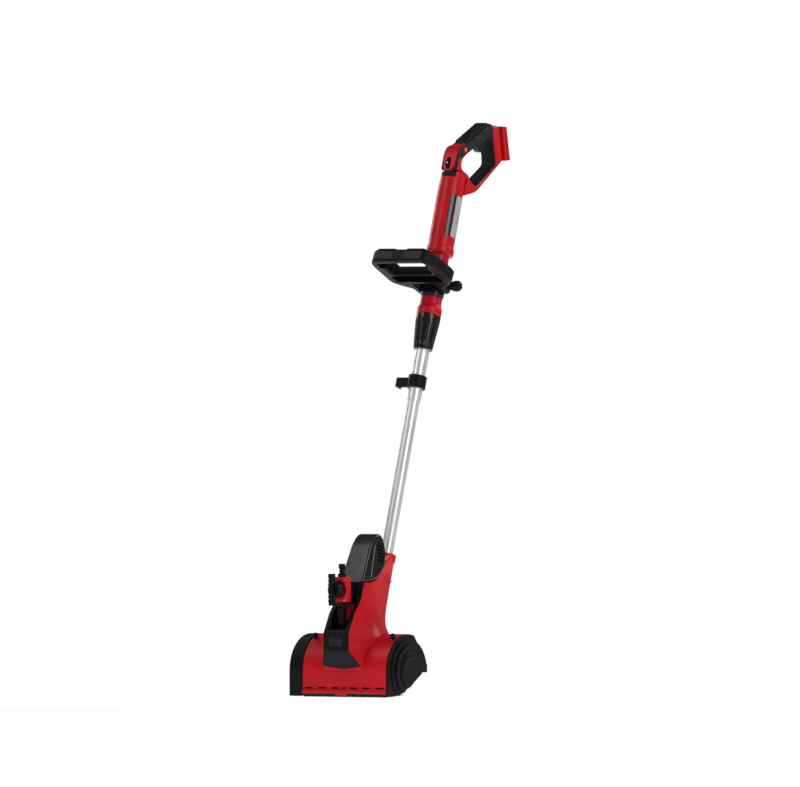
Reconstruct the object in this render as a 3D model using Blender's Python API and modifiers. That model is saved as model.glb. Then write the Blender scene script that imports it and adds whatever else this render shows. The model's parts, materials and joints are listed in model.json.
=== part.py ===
"""Cordless surface brush on a telescopic pole, modelled as an assembly of separate pieces.

Sizes are in millimetres in a design frame: X across the brush, the front faces -Y, Z is up, and
the zero point is on the ground under the brush axis. The tool is carried by its main grip, so the
whole design hangs under TOOL, which moves the grip to the world origin and scales to metres.
"""
import bpy
import bmesh
from math import acos, atan2, cos, pi, radians, sin, tan
from mathutils import Matrix, Vector

MM = 0.001
GAP = 0.3                      # clearance left between neighbouring pieces
WALL = 3.0                     # moulded wall thickness

# Driving dimensions
GRIP = (0, 400, 1205)          # middle of the main grip, the world origin
BRUSH_R = 57.5
BRUSH_HALF = 102.5
COWL_R = 78.0
COWL_HALF = 107.5
COVER_LEFT_X = -144.0
REAR_Y = 73.5
POLE_Y = 6.5                   # where the pole axis passes the height of the brush axis
POLE_LEAN = 17.5
MOTOR_LEAN = 9.8
LAY_Y, LAY_Z = -23.6, 119.1    # layshaft axis, which runs along X
LOWER_TUBE_R = 13.0
UPPER_TUBE_R = 15.0
TUBE_WALL = 1.4
HANDLE_TUBE_R = 19.8
HINGE_S = 864                  # second handle's pivot, along the pole
HINGE_TILT = 26
AXLE_R = 4.0
SHAFT_R = 2.4
PINION_TEETH, GEAR_TEETH = 10, 20
GEAR_PITCH_R = 6.3
DRIVE_PULLEY_R, DRIVEN_PULLEY_R = 6.0, 18.0
BELT_THICK = 1.8

# Frames
TOOL = Matrix.Scale(MM, 4) @ Matrix.Translation(-Vector(GRIP))
SIDE = Matrix(((0, 0, 1, 0), (1, 0, 0, 0), (0, 1, 0, 0), (0, 0, 0, 1)))      # plate (u, v) = (Y, Z)
FRONT = Matrix(((1, 0, 0, 0), (0, 0, -1, 0), (0, 1, 0, 0), (0, 0, 0, 1)))    # plate (u, v) = (X, Z)


def axis_frame(origin, direction):
    """A frame at origin whose local Z runs along direction."""
    turn = Vector(direction).to_track_quat("Z", "Y").to_matrix().to_4x4()
    return Matrix.Translation(Vector(origin)) @ turn


def leaning(origin, degrees):
    """A frame at origin whose Z leans back towards +Y."""
    return Matrix.Translation(Vector(origin)) @ Matrix.Rotation(-radians(degrees), 4, "X")


POLE = leaning((0, POLE_Y, BRUSH_R), POLE_LEAN)
MOTOR = leaning((0, LAY_Y, LAY_Z), MOTOR_LEAN)
BRUSH = axis_frame((0, 0, BRUSH_R), (1, 0, 0))
LAYSHAFT = axis_frame((0, LAY_Y, LAY_Z), (1, 0, 0))
PIVOT = POLE @ Vector((0, 0, HINGE_S))
LOOP = Matrix.Translation(PIVOT) @ Matrix.Rotation(radians(180 - HINGE_TILT), 4, "X")

COLOURS = {                    # colour, roughness, metallic
    "red": ((0.60, 0.02, 0.02), 0.32, 0.0),
    "black": ((0.015, 0.015, 0.016), 0.45, 0.0),
    "rubber": ((0.02, 0.02, 0.02), 0.75, 0.0),
    "grey": ((0.12, 0.12, 0.125), 0.55, 0.0),
    "orange": ((0.75, 0.10, 0.02), 0.35, 0.0),
    "aluminium": ((0.80, 0.80, 0.82), 0.30, 1.0),
    "steel": ((0.45, 0.45, 0.47), 0.30, 1.0),
    "brass": ((0.60, 0.42, 0.15), 0.30, 1.0),
    "bristle": ((0.02, 0.02, 0.02), 0.60, 0.0),
}

for old in list(bpy.data.objects):
    bpy.data.objects.remove(old, do_unlink=True)
PARTS = bpy.data.collections.new("surface_brush")
CUTTERS = bpy.data.collections.new("cutters")
for made in (PARTS, CUTTERS):
    bpy.context.scene.collection.children.link(made)


def paint(obj, colour):
    """Give a piece its own Principled material."""
    base, rough, metal = COLOURS[colour]
    mat = bpy.data.materials.new(obj.name)
    mat.use_nodes = True
    shader = mat.node_tree.nodes["Principled BSDF"]
    shader.inputs["Base Color"].default_value = (*base, 1)
    shader.inputs["Roughness"].default_value = rough
    shader.inputs["Metallic"].default_value = metal
    obj.data.materials.clear()
    obj.data.materials.append(mat)


def file_piece(obj, colour):
    """Put an object with the parts, or with the cutters when it has no colour."""
    (PARTS if colour else CUTTERS).objects.link(obj)
    if colour:
        paint(obj, colour)
    else:
        obj.hide_render = True
        obj.display_type = "WIRE"
    return obj


def keep_mesh(name, bm, colour, frame):
    """Place a finished mesh, with the frame's scale applied to its points."""
    bm.transform(TOOL @ frame)
    bmesh.ops.recalc_face_normals(bm, faces=bm.faces)
    if bm.calc_volume(signed=True) < 0:
        bmesh.ops.reverse_faces(bm, faces=bm.faces)
    mesh = bpy.data.meshes.new(name)
    bm.to_mesh(mesh)
    bm.free()
    return file_piece(bpy.data.objects.new(name, mesh), colour)


def curve_to_mesh(name, curve, colour, frame):
    """Turn a curve into a welded mesh piece."""
    guide = bpy.data.objects.new(name + "_guide", curve)
    CUTTERS.objects.link(guide)
    evaluated = guide.evaluated_get(bpy.context.evaluated_depsgraph_get())
    mesh = bpy.data.meshes.new_from_object(evaluated)
    bm = bmesh.new()
    bm.from_mesh(mesh)
    bmesh.ops.remove_doubles(bm, verts=bm.verts, dist=0.001)
    bpy.data.objects.remove(guide, do_unlink=True)
    bpy.data.meshes.remove(mesh)
    return keep_mesh(name, bm, colour, frame)


def plate(name, outlines, low, high, colour=None, frame=SIDE):
    """A flat outline, with any holes in it, extruded from low to high along the frame's Z."""
    curve = bpy.data.curves.new(name, "CURVE")
    curve.dimensions = "2D"
    curve.fill_mode = "BOTH"
    curve.extrude = (high - low) / 2
    for outline in outlines:
        spline = curve.splines.new("POLY")
        spline.points.add(len(outline) - 1)
        for point, (u, v) in zip(spline.points, outline):
            point.co = (u, v, 0, 1)
        spline.use_cyclic_u = True
    return curve_to_mesh(name, curve, colour, frame @ Matrix.Translation((0, 0, (low + high) / 2)))


def rod(name, points, radius, colour=None, frame=Matrix(), rings=2):
    """A round bar along a path."""
    curve = bpy.data.curves.new(name, "CURVE")
    curve.dimensions = "3D"
    curve.bevel_depth = radius
    curve.bevel_resolution = rings
    curve.use_fill_caps = True
    spline = curve.splines.new("POLY")
    spline.points.add(len(points) - 1)
    for point, place in zip(spline.points, points):
        point.co = (*place, 1)
    return curve_to_mesh(name, curve, colour, frame)


def turned(name, profile, colour=None, frame=Matrix(), steps=28, ring=False):
    """A profile of (radius, height) turned about the frame's Z; it runs down the outer side."""
    bm = bmesh.new()
    place = TOOL @ frame
    verts = [bm.verts.new((r * MM, 0, z * MM)) for r, z in profile]
    pairs = list(zip(verts, verts[1:])) + ([(verts[-1], verts[0])] if ring else [])
    for a, b in pairs:
        bm.edges.new((a, b))
    mesh = bpy.data.meshes.new(name)
    bm.to_mesh(mesh)
    bm.free()
    obj = file_piece(bpy.data.objects.new(name, mesh), colour)
    obj.matrix_world = Matrix.Translation(place.translation) @ place.to_quaternion().to_matrix().to_4x4()
    screw = obj.modifiers.new("turn", "SCREW")
    screw.steps = screw.render_steps = steps
    screw.use_merge_vertices = True
    screw.merge_threshold = 0.00005
    return obj


def tube(name, outer, inner, low, high, colour=None, frame=Matrix(), steps=28):
    """A plain tube or bush."""
    profile = [(outer, high), (outer, low), (inner, low), (inner, high)]
    return turned(name, profile, colour, frame, steps, ring=True)


def cylinder(name, radius, low, high, colour=None, frame=Matrix(), steps=28):
    """A plain solid cylinder."""
    return turned(name, [(0, high), (radius, high), (radius, low), (0, low)], colour, frame, steps)


def box(name, x, y, z, colour=None, frame=Matrix()):
    """A block between the given pairs of limits."""
    bm = bmesh.new()
    size = (x[1] - x[0], y[1] - y[0], z[1] - z[0])
    middle = ((x[0] + x[1]) / 2, (y[0] + y[1]) / 2, (z[0] + z[1]) / 2)
    bmesh.ops.create_cube(bm, size=1, matrix=Matrix.Translation(middle) @ Matrix.Diagonal((*size, 1)))
    return keep_mesh(name, bm, colour, frame)


def loft(name, rings, colour=None, frame=Matrix()):
    """A closed skin through rings of equal length."""
    bm = bmesh.new()
    rows = [[bm.verts.new(p) for p in ring] for ring in rings]
    for low, high in zip(rows, rows[1:]):
        for i in range(len(low)):
            j = (i + 1) % len(low)
            bm.faces.new((low[i], low[j], high[j], high[i]))
    bm.faces.new(rows[0][::-1])
    bm.faces.new(rows[-1])
    return keep_mesh(name, bm, colour, frame)


def combine(piece, other, operation="DIFFERENCE", solver="EXACT"):
    """Cut a piece by another, or join them; MANIFOLD is for the cuts that EXACT can't close."""
    modifier = piece.modifiers.new(operation.lower(), "BOOLEAN")
    modifier.operation = operation
    modifier.solver = solver
    modifier.object = other
    return piece


def arc(centre, radius, start, end, count):
    """Points along an arc, in degrees."""
    angles = [radians(start + (end - start) * i / (count - 1)) for i in range(count)]
    return [(centre[0] + radius * cos(a), centre[1] + radius * sin(a)) for a in angles]


def rounded(points, radius, count=4):
    """A closed outline with its corners rounded."""
    result = []
    for i, corner in enumerate(points):
        here = Vector(corner)
        before = Vector(points[i - 1]) - here
        after = Vector(points[(i + 1) % len(points)]) - here
        reach = min(radius, before.length * 0.45, after.length * 0.45)
        start, end = here + before.normalized() * reach, here + after.normalized() * reach
        for k in range(count):
            t = k / (count - 1)
            result.append(tuple(start * (1 - t) ** 2 + here * 2 * t * (1 - t) + end * t ** 2))
    return result


def inset(points, distance):
    """The outline moved inwards by distance; the points run clockwise or anticlockwise."""
    count = len(points)
    area = sum(points[i][0] * points[(i + 1) % count][1] - points[(i + 1) % count][0] * points[i][1]
               for i in range(count))
    side = 1 if area > 0 else -1
    result = []
    for i, corner in enumerate(points):
        before = (Vector(corner) - Vector(points[i - 1])).normalized()
        after = (Vector(points[(i + 1) % count]) - Vector(corner)).normalized()
        normals = [Vector((-d.y, d.x)) * side for d in (before, after)]
        mean = (normals[0] + normals[1]).normalized()
        result.append(tuple(Vector(corner) + mean * distance / max(0.35, mean.dot(normals[0]))))
    return result


def rounded_rectangle(half_x, y_low, y_high, corner, count=4):
    """An outline in the XY plane."""
    square = [(-half_x, y_low), (half_x, y_low), (half_x, y_high), (-half_x, y_high)]
    return rounded(square, corner, count)


# ---------------------------------------------------------------- brush head

BOTTOM_EDGE = [(REAR_Y, 69), (REAR_Y, 53), (38.5, 53), (-38.5, 4.3), (-60, 2)]


def side_outline(radius):
    """The head seen from the side: straight front, round top, sloping rear and cut-away bottom."""
    return [(-radius, 2)] + arc((0, BRUSH_R), radius, 180, 72, 17) + BOTTOM_EDGE


def make_cowl():
    """The red shell over the brush, open below and behind, with its two end walls."""
    cowl = plate("brush_cowl", [side_outline(COWL_R)], -COWL_HALF, COWL_HALF, "red")
    inner = COWL_R - WALL
    behind = [(26, 138), (130, 138), (130, -20)]
    cavity = [(-inner, -20)] + arc((0, BRUSH_R), inner, 180, 72, 17) + behind
    combine(cowl, plate("cowl_cavity", [cavity], -COWL_HALF + WALL, COWL_HALF - WALL))
    for side in (-1, 1):
        end = BRUSH @ Matrix.Translation((0, 0, side * COWL_HALF))
        combine(cowl, cylinder(f"bearing_hole_{side}", 11 + GAP, -8, 8, frame=end))
    left_wall = LAYSHAFT @ Matrix.Translation((0, 0, -COWL_HALF))
    hole = cylinder("bush_hole", 5 + GAP, -8, 8, frame=left_wall, steps=20)
    combine(cowl, hole, solver="MANIFOLD")
    combine(cowl, box("gear_window", (-12.5, 12.5), (-40, -8), (110, 150)), solver="MANIFOLD")
    for i in (-3, -2, -1, 1, 2, 3):
        middle = (abs(i) * 34 - 10.5) * (1 if i > 0 else -1)
        slot = box(f"lip_slot_{i}", (middle - 10.5, middle + 10.5), (-90, -70), (18.5, 22))
        combine(cowl, slot, solver="MANIFOLD")
    for x in (-100, 100):
        hole = cylinder(f"latch_hole_{x}", 4 + GAP, -20, 40, frame=latch_frame(x), steps=16)
        combine(cowl, hole, solver="MANIFOLD")
    combine(cowl, rod("cowl_pipe_hole", FEED_PATH, 4), solver="MANIFOLD")
    return cowl


def latch_frame(x):
    """A frame on the cowl's roof where a cover latch stands."""
    return Matrix.Translation((x, -35, BRUSH_R + 62)) @ Matrix.Rotation(radians(25), 4, "X")


def make_guards():
    """Rear splash guard, red bumper bar across the front and the rubber lip under it."""
    start = [(24.9, 131.2), (REAR_Y, 69), (REAR_Y, 53), (71, 53), (71, 68.2), (23.9, 128.3)]
    plate("rear_guard", [start], -COWL_HALF + WALL + GAP, COWL_HALF - WALL - GAP, "black")
    face = -COWL_R - GAP
    bar = [(face, 6), (face, 17), (face - 3, 17), (face - 4, 12), (face - 4, 6)]
    bumper = plate("front_bumper", [bar], -COWL_HALF, COWL_HALF, "red")
    tab = [(face, 3), (face, 18.5), (face - 6, 18.5), (face - 6, 3)]
    combine(bumper, plate("bumper_tab", [tab], -20, 8), "UNION")
    lip = [(-COWL_R + WALL + GAP, 1), (-COWL_R + WALL + GAP, 16), (-COWL_R + 5, 16), (-COWL_R + 5, 1)]
    plate("front_lip", [lip], -COWL_HALF + WALL + GAP, COWL_HALF - WALL - GAP, "rubber")


def cut_circle(radius, reach):
    """A circle round the brush axis, cut off at the covers' slanted lower edge."""
    half = acos(reach / radius) * 180 / pi
    lower = atan2(53 - 4.3, 2 * 38.5) * 180 / pi - 90
    return arc((0, BRUSH_R), radius, lower + half, lower + 360 - half, 25)


def make_covers():
    """Deep left cover over the belt drive, flat stepped right cover, and the round cap on it."""
    near = -COWL_HALF - GAP
    left = plate("cover_left", [side_outline(COWL_R)], COVER_LEFT_X, near, "black")
    hollow = inset(side_outline(COWL_R), 2.5)
    combine(left, plate("cover_left_cavity", [hollow], COVER_LEFT_X + 2.5, near + 5))
    right = plate("cover_right", [side_outline(COWL_R)], COWL_HALF + GAP, 113, "black")
    rings = []
    for radius, low, high in ((68, 111, 116), (60, 116, 118.5), (52, 118.5, 121)):
        outline = cut_circle(radius, radius * 0.32)
        rings += [[(x, y, z) for y, z in outline] for x in (low, high)]
    combine(right, loft("cover_steps", rings), "UNION")
    combine(right, cylinder("cover_right_bore", 12, 100, 130, frame=BRUSH))
    cap = [(0, 125), (36, 125), (41, 122.5), (41, 121 + GAP), (0, 121 + GAP)]
    turned("bearing_cap", cap, "black", BRUSH, 40)
    for name, x in (("latch_left", -100), ("latch_right", 100)):
        button = [(0, 19), (3, 19), (6, 16), (6, 10.5), (4, 10.5), (4, 1), (0, 1)]
        turned(name, button, "black", latch_frame(x), 16)


def make_brush():
    """Roller, bristles, axle, bearings and the driven pulley."""
    turned("bristles", [(BRUSH_R, BRUSH_HALF), (BRUSH_R, -BRUSH_HALF), (20 + GAP, -BRUSH_HALF),
                        (20 + GAP, BRUSH_HALF)], "bristle", BRUSH, 48, ring=True)
    tube("roller_core", 20, AXLE_R + GAP, -BRUSH_HALF, BRUSH_HALF, "grey", BRUSH)
    cylinder("brush_axle", AXLE_R, -134, 119, "steel", BRUSH, 20)
    for name, low in (("bearing_left", -COWL_HALF), ("bearing_right", COWL_HALF - 4.5)):
        tube(name, 11, AXLE_R + 0.1, low, low + 4.5, "steel", BRUSH)
    pulley("driven_pulley", DRIVEN_PULLEY_R, AXLE_R + GAP, BRUSH, 36)


def pulley(name, radius, bore, frame, steps):
    """A flanged belt pulley in the left cover."""
    rim = radius + BELT_THICK + 0.6
    profile = [(rim, -117), (rim, -118.5), (radius, -118.5), (radius, -130.5), (rim, -130.5), (rim, -132),
               (bore, -132), (bore, -117)]
    turned(name, profile, "grey", frame, steps, ring=True)


# ---------------------------------------------------------------- drive


def bevel_gear(name, teeth, cone, pitch_radius, frame, colour, bore, turn):
    """A straight bevel gear whose cone has its tip at the frame's zero point."""
    outer = pitch_radius / tan(cone)
    tip, root = tan(cone + radians(4.6)) * outer, tan(cone - radians(7.5)) * outer
    step = 2 * pi / teeth
    outline = []
    for i in range(teeth):
        middle = i * step + turn
        for radius, part in ((root, -0.27), (tip, -0.10), (tip, 0.10), (root, 0.27)):
            angle = middle + part * step
            outline.append((radius * cos(angle), radius * sin(angle)))
    inner = 0.72
    hub = [min(1, (bore + 1.9) / Vector(p).length) for p in outline]
    rings = [[(x * inner, y * inner, outer * inner) for x, y in outline],
             [(x, y, outer) for x, y in outline],
             [(x * h, y * h, outer + 1) for (x, y), h in zip(outline, hub)],
             [(x * h, y * h, outer + 4) for (x, y), h in zip(outline, hub)]]
    gear = loft(name, rings, colour, frame)
    if bore:
        combine(gear, cylinder(name + "_bore", bore, 0, outer + 8, frame=frame, steps=16))


def make_drive():
    """Motor, bevel pair, layshaft and toothed belt stage down to the brush."""
    pinion_cone = atan2(PINION_TEETH, GEAR_TEETH)
    inward = axis_frame((0, LAY_Y, LAY_Z), (-1, 0, 0))
    pinion_r = GEAR_PITCH_R * PINION_TEETH / GEAR_TEETH
    bevel_gear("bevel_gear", GEAR_TEETH, pi / 2 - pinion_cone, GEAR_PITCH_R, inward, "steel",
               SHAFT_R + 0.1, gear_turn())
    bevel_gear("bevel_pinion", PINION_TEETH, pinion_cone, pinion_r, MOTOR, "steel", 0, 0.0)
    cylinder("layshaft", SHAFT_R, -131, -2.4, "steel", LAYSHAFT, 16)
    tube("layshaft_bush_inner", 5, SHAFT_R + 0.1, -30, -18, "brass", LAYSHAFT, 20)
    tube("layshaft_bush_outer", 5, SHAFT_R + 0.1, -116, -COWL_HALF + WALL, "brass", LAYSHAFT, 20)
    pulley("drive_pulley", DRIVE_PULLEY_R, SHAFT_R + GAP, LAYSHAFT, 24)
    make_belt()
    cylinder("motor_shaft", 1.5, GEAR_PITCH_R + 4 + GAP, 205, "steel", MOTOR, 12)
    can = [(16, 198), (21, 195), (21, 132), (16, 130), (1.8, 130), (1.8, 198)]
    turned("motor_can", can, "steel", MOTOR, 28, ring=True)
    fan = [(18, 126), (18, 122), (6, 118), (1.8, 118), (1.8, 126)]
    turned("cooling_fan", fan, "black", MOTOR, 20, ring=True)


def gear_turn():
    """Turn of the bevel gear that puts one of its gaps on the pinion's tooth."""
    inward = axis_frame((0, LAY_Y, LAY_Z), (-1, 0, 0)).to_3x3()
    towards_motor = inward.transposed() @ (MOTOR.to_3x3() @ Vector((0, 0, 1)))
    return atan2(towards_motor.y, towards_motor.x) + pi / GEAR_TEETH


def make_belt():
    """The belt loop: two arcs around the pulleys joined by straight runs."""
    small, large = DRIVE_PULLEY_R + GAP, DRIVEN_PULLEY_R + GAP
    gap = Vector((LAY_Y, LAY_Z)) - Vector((0, BRUSH_R))
    lean = pi - atan2(gap.y, -gap.x)
    wrap = (large - small) / gap.length
    open_angle = 90 - wrap * 180 / pi
    middle = lean * 180 / pi

    def loop(extra):
        upper = arc((LAY_Y, LAY_Z), small + extra, middle - open_angle, middle + open_angle, 9)
        lower = arc((0, BRUSH_R), large + extra, middle + open_angle, middle + 360 - open_angle, 17)
        return upper + lower
    plate("drive_belt", [loop(BELT_THICK), loop(0)], -129.5, -119.5, "rubber")


# ---------------------------------------------------------------- neck, nose, hood and water valve

FEED_PATH = [(0, -86, 192), (0, -86, 160), (0, -80, 135), (0, -66, 103), (0, -62, 97)]
CRADLE_BACK = -57.0
HOOD = [(-52, 247), (-34, 290), (-17, 330), (-8, 342), (8, 349), (24, 349), (35, 341), (42, 322),
        (43, 303), (36, 280), (22, 262), (0, 250), (-26, 245)]


def nose_outline():
    """The nose and cradle seen from the side."""
    along_cowl = arc((0, BRUSH_R), COWL_R + GAP, 180, 137, 7)
    front = [(-54.5, 238), (-62, 214), (-87, 181), (-110, 138), (-110, 101), (-80.5, 55)]
    return front + [(-COWL_R - GAP, 55)] + along_cowl + [(CRADLE_BACK, 175)]


def make_nose():
    """Front nose that carries the water valve: a tray with high side walls."""
    nose = plate("nose_panel", [nose_outline()], -50, 50, "black")
    seen_from_front = [(-32, 250), (-32, 101), (-49, 66), (0, 54), (49, 66), (32, 101), (32, 250)]
    combine(nose, plate("nose_front", [seen_from_front], 40, 130, frame=FRONT), "INTERSECT")
    tray = [(-107, 128), (-107, 260), (-40, 260), (-40, 200), (CRADLE_BACK - 2.5, 180),
            (CRADLE_BACK - 2.5, 128)]
    combine(nose, plate("nose_tray", [tray], -29, 29))
    combine(nose, rod("nose_pipe_hole", FEED_PATH, 4))


NECK_SECTIONS = [              # height, half-width, front, rear, corner
    (96, 62, -62, 50, 22), (128, 60, -56, 52, 24), (146, 43, -55, 54, 22), (172, 34, -54, 58, 20),
    (240, 32, -51, 80, 20), (278, 29, -18, 98, 20), (304, 24, 60, 109, 23),
]


def make_neck():
    """Red neck between cowl and pole, bored for the pole and the motor."""
    rings = []
    for height, half, front, rear, corner in NECK_SECTIONS:
        ring = rounded_rectangle(half, front, rear, corner)
        rings.append([(x, y, height) for x, y in ring])
    neck = loft("neck_fairing", rings, "red")
    combine(neck, cylinder("neck_foot", COWL_R + GAP, -120, 120, frame=BRUSH, steps=60))
    combine(neck, plate("neck_nose_cut", [nose_outline_grown()], -50.5, 50.5))
    combine(neck, plate("neck_hood_cut", [inset(HOOD, -GAP)], -60, 60))
    combine(neck, cylinder("neck_motor_tunnel", 22, 24, 215, frame=MOTOR))
    combine(neck, cylinder("neck_gear_tunnel", 13, -10, 25, frame=MOTOR))
    bore = cylinder("neck_pole_bore", LOWER_TUBE_R + GAP, 150, 320, frame=POLE)
    combine(neck, bore, solver="MANIFOLD")


def nose_outline_grown():
    """The nose's outline with the clearance that the neck leaves round it."""
    return [(-50, 262), (-54.2, 238), (CRADLE_BACK + GAP, 175), (CRADLE_BACK + GAP, 40), (-130, 40),
            (-130, 262)]


def make_hood():
    """Motor hood, hollow, with slanted vent slots on both sides."""
    hood = plate("motor_hood", [HOOD], -30, 30, "black")
    combine(hood, plate("hood_cavity", [inset(HOOD, WALL)], -27, 27))
    combine(hood, cylinder("hood_motor_tunnel", 22, 60, 200, frame=MOTOR))
    for row in range(4):
        slot = Matrix.Translation((0, 14, 316 - row * 8)) @ Matrix.Rotation(radians(-15), 4, "X")
        combine(hood, box(f"vent_{row}", (-35, 35), (-10, 10), (-1.5, 1.5), frame=slot))


def make_valve():
    """Water valve in front of the hood: body, spigot, collar, turning knob and feed pipe."""
    body = box("valve_body", (-17.5, 17.5), (-98, -73), (204, 258), "red")
    combine(body, cylinder("valve_bore", 5, 195, 265, frame=Matrix.Translation((0, -86, 0)), steps=16))
    combine(body, cylinder("valve_stem_hole", 4.3, 0, 20, frame=VALVE_AXIS, steps=16))
    box("valve_bracket", (-10, 10), (-73 + GAP, -62.5), (217, 240), "black")
    spigot = [(7.5, 286), (7.5, 281), (6.2, 279), (6.2, 271), (7.5, 269), (7.5, 265), (9, 264),
              (9, 258 + GAP), (4, 258 + GAP), (4, 286)]
    turned("hose_spigot", spigot, "black", Matrix.Translation((0, -86, 0)), 20, ring=True)
    tube("valve_collar", 10, 4, 193, 204 - GAP, "black", Matrix.Translation((0, -86, 0)), 20)
    rod("feed_pipe", [(0, -86, 192.5)] + FEED_PATH[1:], 3.4, "black")
    rod("spray_bar", [(-98, -60.2, 89.5), (98, -60.2, 89.5)], 3.4, "black")
    knob = turned("valve_lever", [(0, 12), (14, 12), (15, 10), (15, -8), (13, -10 + GAP), (4, -10 + GAP),
                                  (4, -24), (0, -24)], "black", VALVE_KNOB, 24)
    bar = rounded([(-34, -5), (34, -5), (34, 5), (-34, 5)], 4)
    combine(knob, plate("lever_bar", [bar], 8, 24, frame=VALVE_KNOB), "UNION")


VALVE_AXIS = axis_frame((0, -80, 231), (0, -1, 0))
VALVE_KNOB = Matrix.Translation((0, -108, 231)) @ Matrix(((0, 1, 0, 0), (0, 0, -1, 0), (-1, 0, 0, 0),
                                                         (0, 0, 0, 1)))


# ---------------------------------------------------------------- pole


def make_pole():
    """Lower and upper tubes, hose clip, twist lock and collar, all on the pole axis."""
    tube("lower_tube", LOWER_TUBE_R, LOWER_TUBE_R - TUBE_WALL, 151, 640, "aluminium", POLE)
    tube("upper_tube", UPPER_TUBE_R, LOWER_TUBE_R + GAP, 604, 1010, "aluminium", POLE)
    clip = [circle(20), circle(UPPER_TUBE_R + GAP)]
    ring = plate("hose_clip", clip, 632, 660, "black", POLE)
    hook = [(-18, -6), (-50, -6), (-54, -2), (-54, 16), (-48, 16), (-48, 4), (-18, 4)]
    combine(ring, plate("clip_hook", [hook], 636, 656, frame=POLE), "UNION")
    sleeve = [(26.5, 797), (26.5, 785), (21, 725), (20, 720), (UPPER_TUBE_R + GAP, 720),
              (UPPER_TUBE_R + GAP, 732), (HANDLE_TUBE_R + GAP, 736), (HANDLE_TUBE_R + GAP, 797)]
    turned("twist_lock", sleeve, "black", POLE, 32, ring=True)
    tube("handle_tube", HANDLE_TUBE_R, UPPER_TUBE_R + GAP, 737, 930, "black", POLE, 32)
    collar = [(23, 838), (23, 820), (26.5, 812), (26.5, 797 + GAP), (HANDLE_TUBE_R + GAP, 797 + GAP),
              (HANDLE_TUBE_R + GAP, 838)]
    turned("pole_collar", collar, "red", POLE, 32, ring=True)


def circle(radius, count=24):
    """A round outline."""
    return arc((0, 0), radius, 0, 360 - 360 / count, count)


# ---------------------------------------------------------------- second handle


def make_second_handle():
    """Hub on the pole, tilting loop, its soft pads and the clamp knob."""
    hub = tube("handle_hub", 25, HANDLE_TUBE_R + GAP, 838 + GAP, 889, "black", POLE, 32)
    across = axis_frame(PIVOT, (1, 0, 0))
    for side in (-1, 1):
        low, high = sorted((side * 21, side * 27.1))
        combine(hub, cylinder(f"trunnion_{side}", 9, low, high, frame=across, steps=20), "UNION")
        low, high = sorted((side * 21, side * (42 if side < 0 else 60)))
        combine(hub, cylinder(f"pin_{side}", 4, low, high, frame=across, steps=16), "UNION")
    half = [(41, -14), (41, 16), (58, 25), (80, 46), (80, 132), (64, 153)]
    outer = rounded(half + [(-x, y) for x, y in half[::-1]], 12, 3)
    slot = [(-27.4, -30), (27.4, -30), (27.4, 43), (-27.4, 43)]
    window = rounded([(-52, 84), (52, 84), (52, 121), (-52, 121)], 12, 3)
    loop = plate("second_handle", [outer, window], -15, 15, "black", LOOP)
    combine(loop, plate("loop_slot", [slot], -30, 30, frame=LOOP))
    combine(loop, cylinder("loop_bore", 4 + GAP, -80, 80, frame=across, steps=16))
    for side, name in ((-1, "soft_pad_left"), (1, "soft_pad_right")):
        low, high = sorted((side * 12, side * 62))
        pad = rounded([(low, 126), (high, 126), (high, 149), (low, 149)], 8, 3)
        plate(name, [pad], -17, -15 - GAP, "grey", LOOP)
    knob = [(0, 69), (8, 69), (11, 66), (12, 55), (9, 46), (9, 41.5), (4 + GAP, 41.5), (4 + GAP, 61), (0, 61)]
    turned("clamp_knob", knob, "black", across, 24)


# ---------------------------------------------------------------- main handle

NECK_TOP = 1106
SHELL_HALF = 19.0
RING = [(319.5, 1134), (330, 1168), (341, 1184), (368, 1191), (458, 1236), (470, 1232), (497, 1230),
        (508, 1155), (495, 1146), (412, 1088), (398, 1084), (357.8, 1077), (370.6, 1113.5),
        (366, 1119.5)]
OPENING = [(355, 1134), (358, 1154), (372, 1161), (456, 1190), (468, 1183), (470, 1152), (462, 1144),
           (404, 1114), (385, 1119)]
TRIGGER = [(424, 1178), (430, 1166), (448, 1166), (457, 1178), (461, 1188), (457, 1200), (426, 1196)]


def make_handle_neck():
    """Round lower part of the main handle with a bead, and the dark band above it."""
    neck = [(26.5, NECK_TOP), (28, 1080), (28, 952), (30, 947), (30, 936), (22, 934), (22, 889 + GAP),
            (HANDLE_TUBE_R + GAP, 889 + GAP), (HANDLE_TUBE_R + GAP, 931), (25, 936), (25, 1075),
            (23.5, NECK_TOP)]
    shell = turned("handle_neck", neck, "red", POLE, 32, ring=True)
    tube("handle_band", 25.6, 20, NECK_TOP + GAP, 1118, "black", POLE, 32)


def shell_half(name, side):
    """One half of the ring handle, a hollow moulding split at the middle plane."""
    low, high = sorted((side * 0.15, side * SHELL_HALF))
    shell = plate(name, [rounded(RING, 7, 3), rounded(OPENING, 7, 3)], low, high, "red")
    low, high = sorted((side * -1, side * (SHELL_HALF - WALL)))
    pocket = [rounded(inset(RING, WALL), 5, 3), rounded(inset(OPENING, -WALL), 9, 3)]
    openings = [
        plate(name + "_pocket", pocket, low, high),
        box(name + "_trigger_slot", (-7.8, 7.8), (419, 464.5), (1160, 1203)),
        cylinder(name + "_button_hole", 5 + GAP, -30, 30, frame=BUTTON_AXIS, steps=20),
        box(name + "_switch_slot", (-4.4, 4.4), (-8, 8), (-13, 13), frame=SWITCH),
    ]
    for opening in openings:
        combine(shell, opening, solver="MANIFOLD")
    return shell


BUTTON_AXIS = axis_frame((0, 361, 1177), (1, 0, 0))
SWITCH = leaning((0, 324, 1148), 17)


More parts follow.
